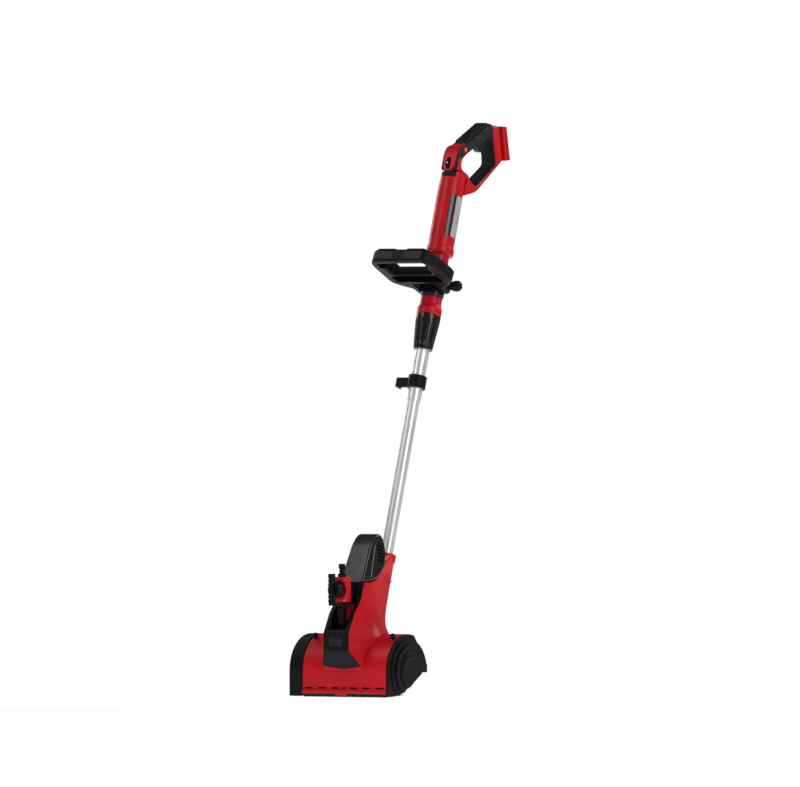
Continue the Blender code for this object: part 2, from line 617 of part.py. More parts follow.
def make_main_handle():
    """Ring handle: two shells, soft grip, controls and the battery seat."""
    make_handle_neck()
    shell_half("handle_shell_left", -1)
    shell_half("handle_shell_right", 1)
    top = Vector((458 - 368, 1236 - 1191)).normalized()
    up = Vector((-top.y, top.x))
    ends = [Vector((372, 1193)), Vector((455, 1234.5))]
    strip = [ends[0] + up * GAP, ends[1] + up * GAP, ends[1] + up * 4.5 - top * 3, ends[0] + up * 4.5 + top * 3]
    plate("soft_grip", [[tuple(p) for p in strip]], -15, 15, "rubber")
    plate("trigger", [TRIGGER], -7, 7, "black")
    box("switch_module", (-9, 9), (428, 452), (1204, 1213), "grey")
    cylinder("lock_button", 5, -22, 22, "orange", BUTTON_AXIS, 20)
    box("speed_switch", (-4, 4), (-6, 2), (-8, 8), "black", SWITCH)
    seat = [(497.6, 1230), (508.6, 1155)]
    seat_plate = [(seat[0][0] + GAP, 1230), (515, 1229), (529, 1157), (seat[1][0] + GAP, 1155)]
    plate("battery_base", [seat_plate], -24, 24, "red")
    contact = axis_frame((0, 522, 1193), (0, 0.982, 0.19))
    box("battery_contacts", (-9, 9), (-14, 14), (GAP, 6), "black", contact)


make_cowl()
make_guards()
make_covers()
make_brush()
make_drive()
make_nose()
make_neck()
make_hood()
make_valve()
make_pole()
make_second_handle()
make_main_handle()
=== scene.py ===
"""Looks of the cordless surface brush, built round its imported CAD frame.

Sizes are in millimetres in the tool's design frame: X across the brush, the front faces -Y, Z is up,
and the zero point is at the foot of the bristles, under the brush axis. TOOL moves that frame into
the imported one.
"""
import json
import random
from math import acos, atan2, cos, degrees, pi, radians, sin, tan

import bmesh
import bpy
from mathutils import Matrix, Vector

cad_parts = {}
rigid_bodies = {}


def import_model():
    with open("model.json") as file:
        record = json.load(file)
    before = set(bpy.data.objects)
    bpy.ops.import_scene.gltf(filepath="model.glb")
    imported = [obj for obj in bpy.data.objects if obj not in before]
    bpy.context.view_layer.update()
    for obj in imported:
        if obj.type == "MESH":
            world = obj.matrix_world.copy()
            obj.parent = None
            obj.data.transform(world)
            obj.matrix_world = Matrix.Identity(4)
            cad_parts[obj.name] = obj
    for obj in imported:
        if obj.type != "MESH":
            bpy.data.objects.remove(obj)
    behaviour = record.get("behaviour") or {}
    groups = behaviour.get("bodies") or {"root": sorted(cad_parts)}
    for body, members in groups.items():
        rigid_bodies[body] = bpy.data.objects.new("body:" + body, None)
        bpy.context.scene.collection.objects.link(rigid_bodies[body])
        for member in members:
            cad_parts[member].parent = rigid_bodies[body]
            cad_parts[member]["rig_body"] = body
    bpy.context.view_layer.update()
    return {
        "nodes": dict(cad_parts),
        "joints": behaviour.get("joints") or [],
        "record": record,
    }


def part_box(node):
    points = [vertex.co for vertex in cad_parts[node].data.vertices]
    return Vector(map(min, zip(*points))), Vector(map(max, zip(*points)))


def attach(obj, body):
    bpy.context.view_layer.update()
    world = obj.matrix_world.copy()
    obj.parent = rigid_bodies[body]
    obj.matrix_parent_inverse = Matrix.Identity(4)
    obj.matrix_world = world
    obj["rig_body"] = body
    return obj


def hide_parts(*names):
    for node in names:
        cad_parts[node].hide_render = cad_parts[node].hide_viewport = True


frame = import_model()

MM = 0.001

brush_low, brush_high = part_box("bristles")
BRUSH_R = (brush_high.z - brush_low.z) / 2 / MM
BRUSH_HALF = (brush_high.x - brush_low.x) / 2 / MM
ZERO = Vector(((brush_low.x + brush_high.x) / 2, (brush_low.y + brush_high.y) / 2, brush_low.z))
TOOL = Matrix.Translation(ZERO) @ Matrix.Scale(MM, 4)


def span(node):
    """The two corners of a CAD node's box, in the design frame."""
    return [(corner - ZERO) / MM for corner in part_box(node)]


def joint_axis(name):
    """A joint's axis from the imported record."""
    return Vector(next(j for j in frame["joints"] if j["name"] == name)["axis"])


# Driving dimensions
COWL_R = -span("brush_cowl")[0].y
COWL_HALF = span("brush_cowl")[1].x
COVER_LEFT_X = span("cover_left")[0].x
REAR_Y = span("brush_cowl")[1].y
GAP = 0.3
WALL = 3.0
LOWER_TUBE_R, UPPER_TUBE_R, HANDLE_TUBE_R = 13.0, 15.0, 19.8
TUBE_WALL = 1.4
HINGE_S, HINGE_TILT = 864, 26
AXLE_R = 4.0
SPRAY_PLACES = range(-84, 85, 28)       # the nozzles, and the cowl ribs in line with them
lay_low, lay_high = span("layshaft")
LAY_Y, LAY_Z = (lay_low.y + lay_high.y) / 2, (lay_low.z + lay_high.z) / 2

# Frames
SIDE = Matrix(((0, 0, 1, 0), (1, 0, 0, 0), (0, 1, 0, 0), (0, 0, 0, 1)))      # plate (u, v) = (Y, Z)
FRONT = Matrix(((1, 0, 0, 0), (0, 0, -1, 0), (0, 1, 0, 0), (0, 0, 0, 1)))    # plate (u, v) = (X, Z)


def axis_frame(origin, direction):
    """A frame at origin whose local Z runs along direction."""
    turn = Vector(direction).to_track_quat("Z", "Y").to_matrix().to_4x4()
    return Matrix.Translation(Vector(origin)) @ turn


def leaning(origin, angle):
    """A frame at origin whose Z leans back towards +Y by that many degrees."""
    return Matrix.Translation(Vector(origin)) @ Matrix.Rotation(-radians(angle), 4, "X")


up_the_pole = -joint_axis("head_slide")
POLE_LEAN = degrees(atan2(up_the_pole.y, up_the_pole.z))
tube_low, tube_high = span("lower_tube")
tube_middle = (tube_low + tube_high) / 2
POLE_Y = tube_middle.y - (tube_middle.z - BRUSH_R) * tan(radians(POLE_LEAN))
motor_axis = joint_axis("rotor_spin")
MOTOR_LEAN = degrees(atan2(motor_axis.y, motor_axis.z))

POLE = leaning((0, POLE_Y, BRUSH_R), POLE_LEAN)
MOTOR = leaning((0, LAY_Y, LAY_Z), MOTOR_LEAN)
BRUSH = axis_frame((0, 0, BRUSH_R), (1, 0, 0))
PIVOT = POLE @ Vector((0, 0, HINGE_S))
ACROSS = axis_frame(PIVOT, (1, 0, 0))
LOOP = Matrix.Translation(PIVOT) @ Matrix.Rotation(radians(180 - HINGE_TILT), 4, "X")
KNOB_PLACE = Matrix.Translation((0, -108, 231)) @ Matrix(((0, 1, 0, 0), (0, 0, -1, 0), (-1, 0, 0, 0),
                                                         (0, 0, 0, 1)))
BUTTON_AXIS = axis_frame((0, 361, 1177), (1, 0, 0))
SWITCH = leaning((0, 324, 1148), 17)


# ---------------------------------------------------------------- materials


class Look:
    """A Principled material under construction, textured in object coordinates, which are metres."""

    def __init__(self, name, roughness, metallic=0.0, **sockets):
        self.material = bpy.data.materials.new(name)
        self.material.use_nodes = True
        self.tree = self.material.node_tree
        self.shader = self.tree.nodes["Principled BSDF"]
        self.shader.inputs["Roughness"].default_value = roughness
        self.shader.inputs["Metallic"].default_value = metallic
        for socket, value in sockets.items():
            self.shader.inputs[socket.replace("_", " ")].default_value = value
        self.place = self.tree.nodes.new("ShaderNodeTexCoord").outputs["Object"]

    def link(self, source, target):
        self.tree.links.new(source, target)

    def add(self, kind, **inputs):
        """A new shader node with some of its inputs set, an underscore standing for a space."""
        node = self.tree.nodes.new("ShaderNode" + kind)
        for socket, value in inputs.items():
            node.inputs[socket.replace("_", " ")].default_value = value
        return node

    def stretched(self, scale, turn=(0, 0, 0)):
        """Object coordinates seen from a turned frame, then stretched."""
        mapping = self.add("Mapping", Rotation=turn, Scale=[1 / s for s in scale])
        mapping.vector_type = "TEXTURE"
        self.link(self.place, mapping.inputs["Vector"])
        return mapping.outputs["Vector"]

    def noise(self, scale, detail=3.0, place=None):
        node = self.add("TexNoise", Scale=scale, Detail=detail)
        self.link(place or self.place, node.inputs["Vector"])
        return node.outputs["Fac"]

    def ramp(self, source, *stops):
        node = self.add("ValToRGB")
        band = node.color_ramp
        while len(band.elements) < len(stops):
            band.elements.new(0.5)
        for element, (position, colour) in zip(band.elements, stops):
            element.position = position
            element.color = (*colour, 1) if hasattr(colour, "__len__") else (colour, colour, colour, 1)
        self.link(source, node.inputs["Fac"])
        return node.outputs["Color"]

    def blend(self, amount, first, second, mode="MIX"):
        node = self.add("Mix")
        node.data_type = "RGBA"
        node.blend_type = mode
        for socket, value in ((node.inputs["Factor"], amount), (node.inputs[6], first),
                              (node.inputs[7], second)):
            if hasattr(value, "is_output"):
                self.link(value, socket)
            else:
                socket.default_value = value
        return node.outputs[2]

    def colour(self, source):
        self.link(source, self.shader.inputs["Base Color"])

    def roughness(self, source, low, high):
        node = self.add("MapRange", From_Min=0.3, From_Max=0.7, To_Min=low, To_Max=high)
        self.link(source, node.inputs["Value"])
        self.link(node.outputs["Result"], self.shader.inputs["Roughness"])

    def bumps(self, *heights):
        """Chain bumps of (source, strength, depth in mm)."""
        normal = None
        for source, strength, depth in heights:
            node = self.add("Bump", Strength=strength, Distance=depth * MM)
            self.link(source, node.inputs["Height"])
            if normal is not None:
                self.link(normal, node.inputs["Normal"])
            normal = node.outputs["Normal"]
        self.link(normal, self.shader.inputs["Normal"])

    def edge_wear_and_highlight(self, colour, worn_and_lit, share):
        """Raised edges lightened towards a paler colour: partly rubbing wear, partly a painted edge
        highlight.
        """
        geometry = self.add("NewGeometry")
        mask = self.ramp(geometry.outputs["Pointiness"], (0.52, 0.0), (0.60, share))
        return self.blend(mask, colour, (*worn_and_lit, 1))


def tinted(colour, factor):
    return tuple(min(1.0, c * factor) for c in colour)


def moulded(name, colour, roughness, grain=0.25, worn_and_lit=0.0, shine=0.3, **sockets):
    """Moulded plastic: faint colour drift, fine spark-eroded grain, scuffs, and edges lightened partly as
    rubbing wear and partly as a painted edge highlight.
    """
    look = Look(name, roughness, Specular_IOR_Level=shine, **sockets)
    drift = look.noise(22, 4)
    scuffs = look.noise(1.0, 5, look.stretched((60, 240, 140), (0.4, 0.9, 0.2)))
    base = look.ramp(drift, (0.30, tinted(colour, 0.86)), (0.72, tinted(colour, 1.10)))
    base = look.blend(look.ramp(scuffs, (0.58, 0.0), (0.85, 0.05)), base, (*tinted(colour, 1.4), 1))
    # Lighter raised edges: partly rubbing wear, partly a painted edge highlight.
    if worn_and_lit:
        base = look.edge_wear_and_highlight(base, tinted(colour, 1.8), worn_and_lit)
    look.colour(base)
    look.roughness(drift, roughness - 0.03, roughness + 0.04)
    look.bumps((look.noise(1500, 2), grain, 0.05))
    return look.material


def rubber(name, colour, roughness):
    """Soft overmould: a close pebble grain with dusty patches."""
    look = Look(name, roughness, Specular_IOR_Level=0.2)
    cells = look.add("TexVoronoi", Scale=900)
    look.link(look.place, cells.inputs["Vector"])
    base = look.ramp(cells.outputs["Distance"], (0.0, tinted(colour, 1.25)), (0.7, tinted(colour, 0.8)))
    dust = look.ramp(look.noise(35, 4), (0.55, 0.0), (0.85, 0.12))
    look.colour(look.blend(dust, base, (*tinted(colour, 2.6), 1)))
    look.roughness(look.noise(120, 3), roughness - 0.06, roughness + 0.10)
    look.bumps((cells.outputs["Distance"], 0.35, 0.22))
    return look.material


def drawn_metal(name, colour, roughness, turn, streak=1100, metallic=1.0):
    """Metal with fine lines along its length and faint stains."""
    look = Look(name, roughness, metallic=metallic)
    lines = look.noise(1.0, 3, look.stretched((streak, streak, 14), turn))
    stains = look.noise(18, 4)
    base = look.ramp(lines, (0.3, tinted(colour, 0.90)), (0.7, tinted(colour, 1.05)))
    look.colour(look.blend(look.ramp(stains, (0.5, 0.0), (0.9, 0.10)), base, (*tinted(colour, 0.8), 1)))
    look.roughness(stains, roughness - 0.05, roughness + 0.08)
    look.bumps((lines, 0.12, 0.05))
    return look.material


def nylon(name):
    """Bristle nylon, near black with lighter flecks."""
    colour = (0.016, 0.016, 0.017)
    look = Look(name, 0.42, Specular_IOR_Level=0.45)
    look.colour(look.ramp(look.noise(260, 2), (0.35, tinted(colour, 0.7)), (0.7, tinted(colour, 2.4))))
    look.roughness(look.noise(500, 2), 0.34, 0.55)
    look.bumps((look.noise(2500, 1), 0.2, 0.05))
    return look.material


RED = (0.47, 0.005, 0.011)
BLACK = (0.005, 0.005, 0.0054)
POLE_TURN = (-radians(POLE_LEAN), 0, 0)
LOOKS = {                      # look: (record slot, material)
    "red": ("red_plastic", moulded("red_gloss", RED, 0.36, 0.06, 0.15, 0.18)),
    "black": ("black_plastic", moulded("black_grained", BLACK, 0.46, 0.20, 0.4, 0.10)),
    "gloss": ("black_plastic", moulded("black_gloss", BLACK, 0.28, 0.03, 0.3, 0.38)),
    "soft": ("soft_rubber", rubber("black_soft", (0.0085, 0.008, 0.0085), 0.62)),
    "pad": ("grey_plastic", rubber("grey_soft", (0.022, 0.022, 0.024), 0.55)),
    "grey": ("grey_plastic", moulded("grey_moulded", (0.085, 0.085, 0.09), 0.42, 0.3, 0.3)),
    "orange": ("orange_plastic", moulded("orange_gloss", (0.80, 0.10, 0.02), 0.33, 0.1, 0.2)),
    "tube": ("aluminium_tube", drawn_metal("anodised", (0.74, 0.74, 0.76), 0.36, POLE_TURN, metallic=0.6)),
    "steel": ("steel", drawn_metal("bright_steel", (0.50, 0.50, 0.52), 0.30, (0, radians(90), 0))),
    "brass": ("brass", drawn_metal("sintered_brass", (0.60, 0.42, 0.16), 0.34, (0, radians(90), 0))),
    "nylon": ("bristle", nylon("nylon_bristle")),
    "label": ("grey_plastic", moulded("label_silver", (0.52, 0.53, 0.54), 0.38, 0.05, Metallic=0.5)),
}


# ---------------------------------------------------------------- shape helpers


def new_piece(name, bm, place=Matrix()):
    """File a mesh made in place's millimetres as an object, with its faces pointing out."""
    bmesh.ops.remove_doubles(bm, verts=bm.verts, dist=0.003)
    bm.transform(TOOL @ place)
    bmesh.ops.recalc_face_normals(bm, faces=bm.faces)
    if bm.calc_volume(signed=True) < 0:
        bmesh.ops.reverse_faces(bm, faces=bm.faces)
    mesh = bpy.data.meshes.new(name)
    bm.to_mesh(mesh)
    bm.free()
    obj = bpy.data.objects.new(name, mesh)
    bpy.context.scene.collection.objects.link(obj)
    return obj


def from_curve(name, curve, place):
    """A curve's surface as a piece."""
    guide = bpy.data.objects.new(name + "_guide", curve)
    bpy.context.scene.collection.objects.link(guide)
    evaluated = guide.evaluated_get(bpy.context.evaluated_depsgraph_get())
    mesh = bpy.data.meshes.new_from_object(evaluated)
    bm = bmesh.new()
    bm.from_mesh(mesh)
    bpy.data.objects.remove(guide, do_unlink=True)
    bpy.data.meshes.remove(mesh)
    return new_piece(name, bm, place)


def plate(name, outlines, low, high, place=SIDE, edge=0.0, steps=3):
    """A flat outline with any holes, from low to high along place's Z, its rims rounded by edge."""
    curve = bpy.data.curves.new(name, "CURVE")
    curve.dimensions = "2D"
    curve.fill_mode = "BOTH"
    curve.extrude = (high - low) / 2 - edge
    curve.bevel_depth = edge
    curve.bevel_resolution = steps
    curve.offset = -edge
    for outline in outlines:
        spline = curve.splines.new("POLY")
        spline.points.add(len(outline) - 1)
        for point, (u, v) in zip(spline.points, outline):
            point.co = (u, v, 0, 1)
        spline.use_cyclic_u = True
    return from_curve(name, curve, place @ Matrix.Translation((0, 0, (low + high) / 2)))


def rod(name, points, radius, place=Matrix(), rings=6, smooth_path=True):
    """A round bar along a smooth path through the given points."""
    curve = bpy.data.curves.new(name, "CURVE")
    curve.dimensions = "3D"
    curve.bevel_depth = radius
    curve.bevel_resolution = rings
    curve.use_fill_caps = True
    spline = curve.splines.new("POLY")
    path = through(points, 8) if smooth_path and len(points) > 2 else points
    spline.points.add(len(path) - 1)
    for point, at in zip(spline.points, path):
        point.co = (*at, 1)
    return from_curve(name, curve, place)


def through(points, steps):
    """A Catmull-Rom line through points of any size, with steps between each two."""
    rows = [Vector(points[0])] + [Vector(p) for p in points] + [Vector(points[-1])]
    result = []
    for a, b, c, d in zip(rows, rows[1:], rows[2:], rows[3:]):
        for k in range(steps):
            t = k / steps
            result.append(0.5 * (2 * b + (c - a) * t + (2 * a - 5 * b + 4 * c - d) * t ** 2
                                 + (3 * b - a - 3 * c + d) * t ** 3))
    return result + [rows[-1]]


def turned(name, profile, place=Matrix(), steps=96, ring=False, shape=None, edge=0.0):
    """A profile of (radius, height) turned about place's Z; shape(angle, radius, height) may move it."""
    if edge:
        profile = rounded(profile, edge, 5, closed=ring)
    bm = bmesh.new()
    rows = []
    for radius, height in profile:
        count = 1 if radius < 0.001 else steps
        row = []
        for i in range(count):
            angle = 2 * pi * i / steps
            r = shape(angle, radius, height) if shape and radius > 0.001 else radius
            row.append(bm.verts.new((r * cos(angle), r * sin(angle), height)))
        rows.append(row)
    pairs = list(zip(rows, rows[1:])) + ([(rows[-1], rows[0])] if ring else [])
    for first, second in pairs:
        for i in range(steps):
            j = (i + 1) % steps
            corners = [first[i % len(first)], first[j % len(first)],
                       second[j % len(second)], second[i % len(second)]]
            corners = list(dict.fromkeys(corners))
            if len(corners) > 2:
                bm.faces.new(corners)
    return new_piece(name, bm, place)


def loft(name, rings, place=Matrix()):
    """A closed skin through rings of equal length."""
    bm = bmesh.new()
    rows = [[bm.verts.new(p) for p in ring] for ring in rings]
    for low, high in zip(rows, rows[1:]):
        for i in range(len(low)):
            j = (i + 1) % len(low)
            bm.faces.new((low[i], low[j], high[j], high[i]))
    bm.faces.new(rows[0][::-1])
    bm.faces.new(rows[-1])
    return new_piece(name, bm, place)


def on_side(side, near, far):
    """The two limits in rising order on the left (-1) or right (1) of the tool."""
    return sorted((side * near, side * far))


def block(name, x, y, z, place=Matrix()):
    """A cutter block between the given pairs of limits."""
    bm = bmesh.new()
    size = (x[1] - x[0], y[1] - y[0], z[1] - z[0])
    middle = ((x[0] + x[1]) / 2, (y[0] + y[1]) / 2, (z[0] + z[1]) / 2)
    bmesh.ops.create_cube(bm, size=1, matrix=Matrix.Translation(middle) @ Matrix.Diagonal((*size, 1)))
    return new_piece(name, bm, place)


def drill(radius, low, high, place=Matrix(), steps=48):
    """A round cutter."""
    return turned("drill", [(0, high), (radius, high), (radius, low), (0, low)], place, steps)


def carve(piece, *tools, operation="DIFFERENCE"):
    """Cut a piece by the tools, or join them to it, and take the tools away."""
    for tool in tools:
        modifier = piece.modifiers.new("carve", "BOOLEAN")
        modifier.operation = operation
        modifier.solver = "MANIFOLD"
        modifier.object = tool
    bpy.context.view_layer.update()
    evaluated = piece.evaluated_get(bpy.context.evaluated_depsgraph_get())
    mesh = bpy.data.meshes.new_from_object(evaluated)
    piece.modifiers.clear()
    piece.data = mesh
    for tool in tools:
        bpy.data.objects.remove(tool, do_unlink=True)
    return piece


def merge(piece, *others):
    """Put loose solids, such as screws, into one piece's mesh."""
    bm = bmesh.new()
    bm.from_mesh(piece.data)
    for other in others:
        bm.from_mesh(other.data)
        bpy.data.objects.remove(other, do_unlink=True)
    bm.to_mesh(piece.data)
    bm.free()
    return piece


def soften(piece, width, segments=3, angle=32):
    """Round the sharp edges that cutting left."""
    bm = bmesh.new()
    bm.from_mesh(piece.data)
    bmesh.ops.remove_doubles(bm, verts=bm.verts, dist=0.02 * MM)
    bmesh.ops.dissolve_degenerate(bm, edges=bm.edges, dist=0.02 * MM)
    bmesh.ops.dissolve_limit(bm, angle_limit=radians(0.4), verts=bm.verts, edges=bm.edges)
    bm.to_mesh(piece.data)
    bm.free()
    modifier = piece.modifiers.new("edges", "BEVEL")
    modifier.width = width * MM
    modifier.segments = segments
    modifier.limit_method = "ANGLE"
    modifier.angle_limit = radians(angle)
    modifier.miter_outer = "MITER_ARC"
    return piece


def fit(piece, look, node=None, body=None, angle=35):
    """Shade a piece, give it its look, and let it stand for its CAD node."""
    slot, material = LOOKS[look]
    piece.data.materials.clear()
    piece.data.materials.append(material)
    piece.data.polygons.foreach_set("material_index", [0] * len(piece.data.polygons))
    piece.data.shade_smooth()
    piece.data.set_sharp_from_angle(angle=radians(angle))
    weighted = piece.modifiers.new("normals", "WEIGHTED_NORMAL")
    weighted.keep_sharp = True
    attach(piece, body or frame["nodes"][node]["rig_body"])
    if node:
        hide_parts(node)
    return piece


# ---------------------------------------------------------------- outlines


def arc(centre, radius, start, end, count):
    """Points along an arc, in degrees."""
    angles = [radians(start + (end - start) * i / (count - 1)) for i in range(count)]
    return [(centre[0] + radius * cos(a), centre[1] + radius * sin(a)) for a in angles]


def circle(radius, count=64, centre=(0, 0)):
    return arc(centre, radius, 0, 360 - 360 / count, count)


def rounded(points, radius, count=6, closed=True):
    """An outline with its corners rounded, by one radius or one each; an open one keeps its two ends."""
    result = []
    last = len(points) - 1
    radii = radius if hasattr(radius, "__len__") else [radius] * len(points)
    for i, corner in enumerate(points):
        if not closed and i in (0, last):
            result.append(tuple(corner))
            continue
        here = Vector(corner)
        before = Vector(points[i - 1]) - here
        after = Vector(points[(i + 1) % len(points)]) - here
        reach = min(radii[i], before.length * 0.45, after.length * 0.45)
        start, end = here + before.normalized() * reach, here + after.normalized() * reach
        for k in range(count):
            t = k / (count - 1)
            result.append(tuple(start * (1 - t) ** 2 + here * 2 * t * (1 - t) + end * t ** 2))
    return result


def inset(points, distance):
    """The outline moved inwards by distance."""
    count = len(points)
    area = sum(points[i][0] * points[(i + 1) % count][1] - points[(i + 1) % count][0] * points[i][1]
               for i in range(count))
    side = 1 if area > 0 else -1
    result = []
    for i, corner in enumerate(points):
        before = (Vector(corner) - Vector(points[i - 1])).normalized()
        after = (Vector(points[(i + 1) % count]) - Vector(corner)).normalized()
        normals = [Vector((-d.y, d.x)) * side for d in (before, after)]
        mean = (normals[0] + normals[1]).normalized()
        result.append(tuple(Vector(corner) + mean * distance / max(0.35, mean.dot(normals[0]))))
    return result


def rectangle(u, v, radius, count=6):
    """A rounded outline between two pairs of limits."""
    return rounded([(u[0], v[0]), (u[1], v[0]), (u[1], v[1]), (u[0], v[1])], radius, count)


def screw(place, radius=3.6, depth=1.5):
    """A pan-head screw with a star recess, its head standing on place's XY plane."""
    profile = [(0, depth), (radius * 0.55, depth * 0.95), (radius * 0.9, depth * 0.6), (radius, 0.0),
               (radius, -0.4), (0, -0.4)]
    head = turned("screw", profile, place, 32, edge=0.4)
    star = []
    for k in range(12):
        reach = radius * (0.5 if k % 2 else 0.28)
        star.append((reach * cos(k * pi / 6), reach * sin(k * pi / 6)))
    return carve(head, plate("recess", [star], depth * 0.35, depth + 1, place))


# ---------------------------------------------------------------- brush head

LOWER_EDGE = [(REAR_Y, 69), (REAR_Y, 53), (38.5, 53), (-38.5, 4.3), (-60, 2)]


def head_outline(corner=2.0):
    """The head seen from the side: straight front, round top, sloping rear, cut-away bottom."""
    crown = arc((0, BRUSH_R), COWL_R, 180, 72, 48)
    below = [crown[-1]] + LOWER_EDGE + [(-COWL_R, 2), crown[0]]
    if corner:
        below = rounded(below, corner, 4, closed=False)
    return crown[:-1] + below[:-1]


def make_cowl():
    """Red shell over the brush with slots above its bumper, ribs inside and end walls."""
    cowl = plate("brush_cowl_shell", [head_outline()], -COWL_HALF, COWL_HALF, edge=0.9, steps=2)
    inner = COWL_R - WALL
    behind = [(26, 138), (130, 138), (130, -20)]
    cavity = [(-inner, -20)] + arc((0, BRUSH_R), inner, 180, 72, 40) + behind
    carve(cowl, plate("cavity", [cavity], -COWL_HALF + WALL, COWL_HALF - WALL))
    for side in (-1, 1):
        end = BRUSH @ Matrix.Translation((0, 0, side * COWL_HALF))
        carve(cowl, drill(11 + GAP, -8, 8, end))
    left_wall = axis_frame((-COWL_HALF, LAY_Y, LAY_Z), (1, 0, 0))
    carve(cowl, drill(5 + GAP, -8, 8, left_wall, 32))
    carve(cowl, block("front_edge", (-COWL_HALF - 1, COWL_HALF + 1), (-90, -60), (-5, 8)))
    carve(cowl, block("window", (-12.5, 12.5), (-40, -8), (110, 150)))
    middles = [0 if i == 0 else (abs(i) * 34 - 10.5) * (1 if i > 0 else -1) for i in range(-3, 4)]
    for middle in middles:
        half = 10.2 if middle else 4.6
        slot = rectangle((middle - half, middle + half), (18.6, 22.2), 1.4, 5)
        carve(cowl, plate("slot", [slot], 65, 95, FRONT))
    for x in (-100, 100):
        carve(cowl, drill(4 + GAP, -20, 40, latch_place(x), 32))
    carve(cowl, rod("pipe_hole", FEED_PATH, 4, rings=3, smooth_path=False))
    fit(cowl, "red", "brush_cowl")
    hoop = arc((0, BRUSH_R), inner + 0.4, 170, 80, 30) + arc((0, BRUSH_R), inner - 5, 80, 170, 30)
    ribs = [plate("rib", [hoop], x - 0.9, x + 0.9) for x in SPRAY_PLACES if abs(x) > 20]
    fit(merge(*ribs), "red", body="head").name = "cowl_ribs"


def latch_place(x):
    """Where a cover latch stands on the cowl's roof."""
    return Matrix.Translation((x, -35, BRUSH_R + 62)) @ Matrix.Rotation(radians(25), 4, "X")


def make_guards():
    """Ribbed splash guard behind, bumper bar with its tab in front, and the lip behind the slots."""
    strip = [(24.9, 131.2), (REAR_Y, 69), (REAR_Y, 53), (71, 53), (71, 68.2), (23.9, 128.3)]
    inside = COWL_HALF - WALL - GAP
    guard = plate("rear_splash_guard", [strip], -inside, inside, edge=0.5, steps=1)
    fit(guard, "black", "rear_guard")
    slope = atan2(69 - 131.2, REAR_Y - 24.9)
    for k in range(9):
        x = -88 + 22 * k
        foot = Matrix.Translation((x, REAR_Y - 24, 100)) @ Matrix.Rotation(slope, 4, "X")
        rib = block("guard_rib", (-0.8, 0.8), (-26, 26), (-1.0, 0.6), foot)
        fit(soften(rib, 0.4, 2), "black", body="head").name = f"guard_rib_{k}"
    face = -COWL_R - GAP
    bar = rounded([(face, 8.5), (face, 16.5), (face - 3, 16.5), (face - 4, 14), (face - 4, 8.5)], 1.6, 5)
    bumper = plate("bumper_bar", [bar], -COWL_HALF, COWL_HALF, edge=0.8, steps=3)
    tab = rounded([(face, 5), (face, 15.5), (face - 6, 15.5), (face - 6, 5)], 1.6, 5)
    carve(bumper, plate("tab", [tab], -20, 8, edge=1.2), operation="UNION")
    fit(bumper, "red", "front_bumper")
    front, back = -COWL_R + WALL + GAP + 1, -COWL_R + 5.6
    lip = [(front, 1), (front, 24), (back, 24), (back, 1)]
    edge = plate("wiper_lip", [lip], -inside, inside)
    foot = [(y, min(z, 7.7)) for y, z in lip]
    carve(edge, plate("foot", [foot], GAP - COWL_HALF, COWL_HALF - GAP), operation="UNION")
    teeth = [block("tooth", (x - 0.5, x + 0.5), (-90, -60), (0, 4)) for x in range(-96, 97, 8)]
    fit(carve(edge, *teeth), "soft", "front_lip")


CUT_START, CUT_END = Vector(LOWER_EDGE[3]), Vector(LOWER_EDGE[2])
CUT_RISE = (CUT_END - CUT_START).normalized()
CUT_DOWN = Vector((CUT_RISE.y, -CUT_RISE.x))
CUT_REACH = CUT_DOWN.dot(CUT_START - Vector((0, BRUSH_R)))


def cut_circle(radius, reach=CUT_REACH):
    """A circle round the brush axis, cut off at the covers' slanted lower edge."""
    half = degrees(acos(reach / radius))
    lower = degrees(atan2(CUT_DOWN.y, CUT_DOWN.x))
    return arc((0, BRUSH_R), radius, lower + half, lower + 360 - half, 72)


def below_cut():
    """A cutter for all that hangs below the covers' slanted lower edge."""
    start = CUT_START - CUT_RISE * 80
    corners = [tuple(start), tuple(CUT_END), (150, CUT_END.y), (150, start.y)]
    return plate("below_cut", [corners], 90, 150)


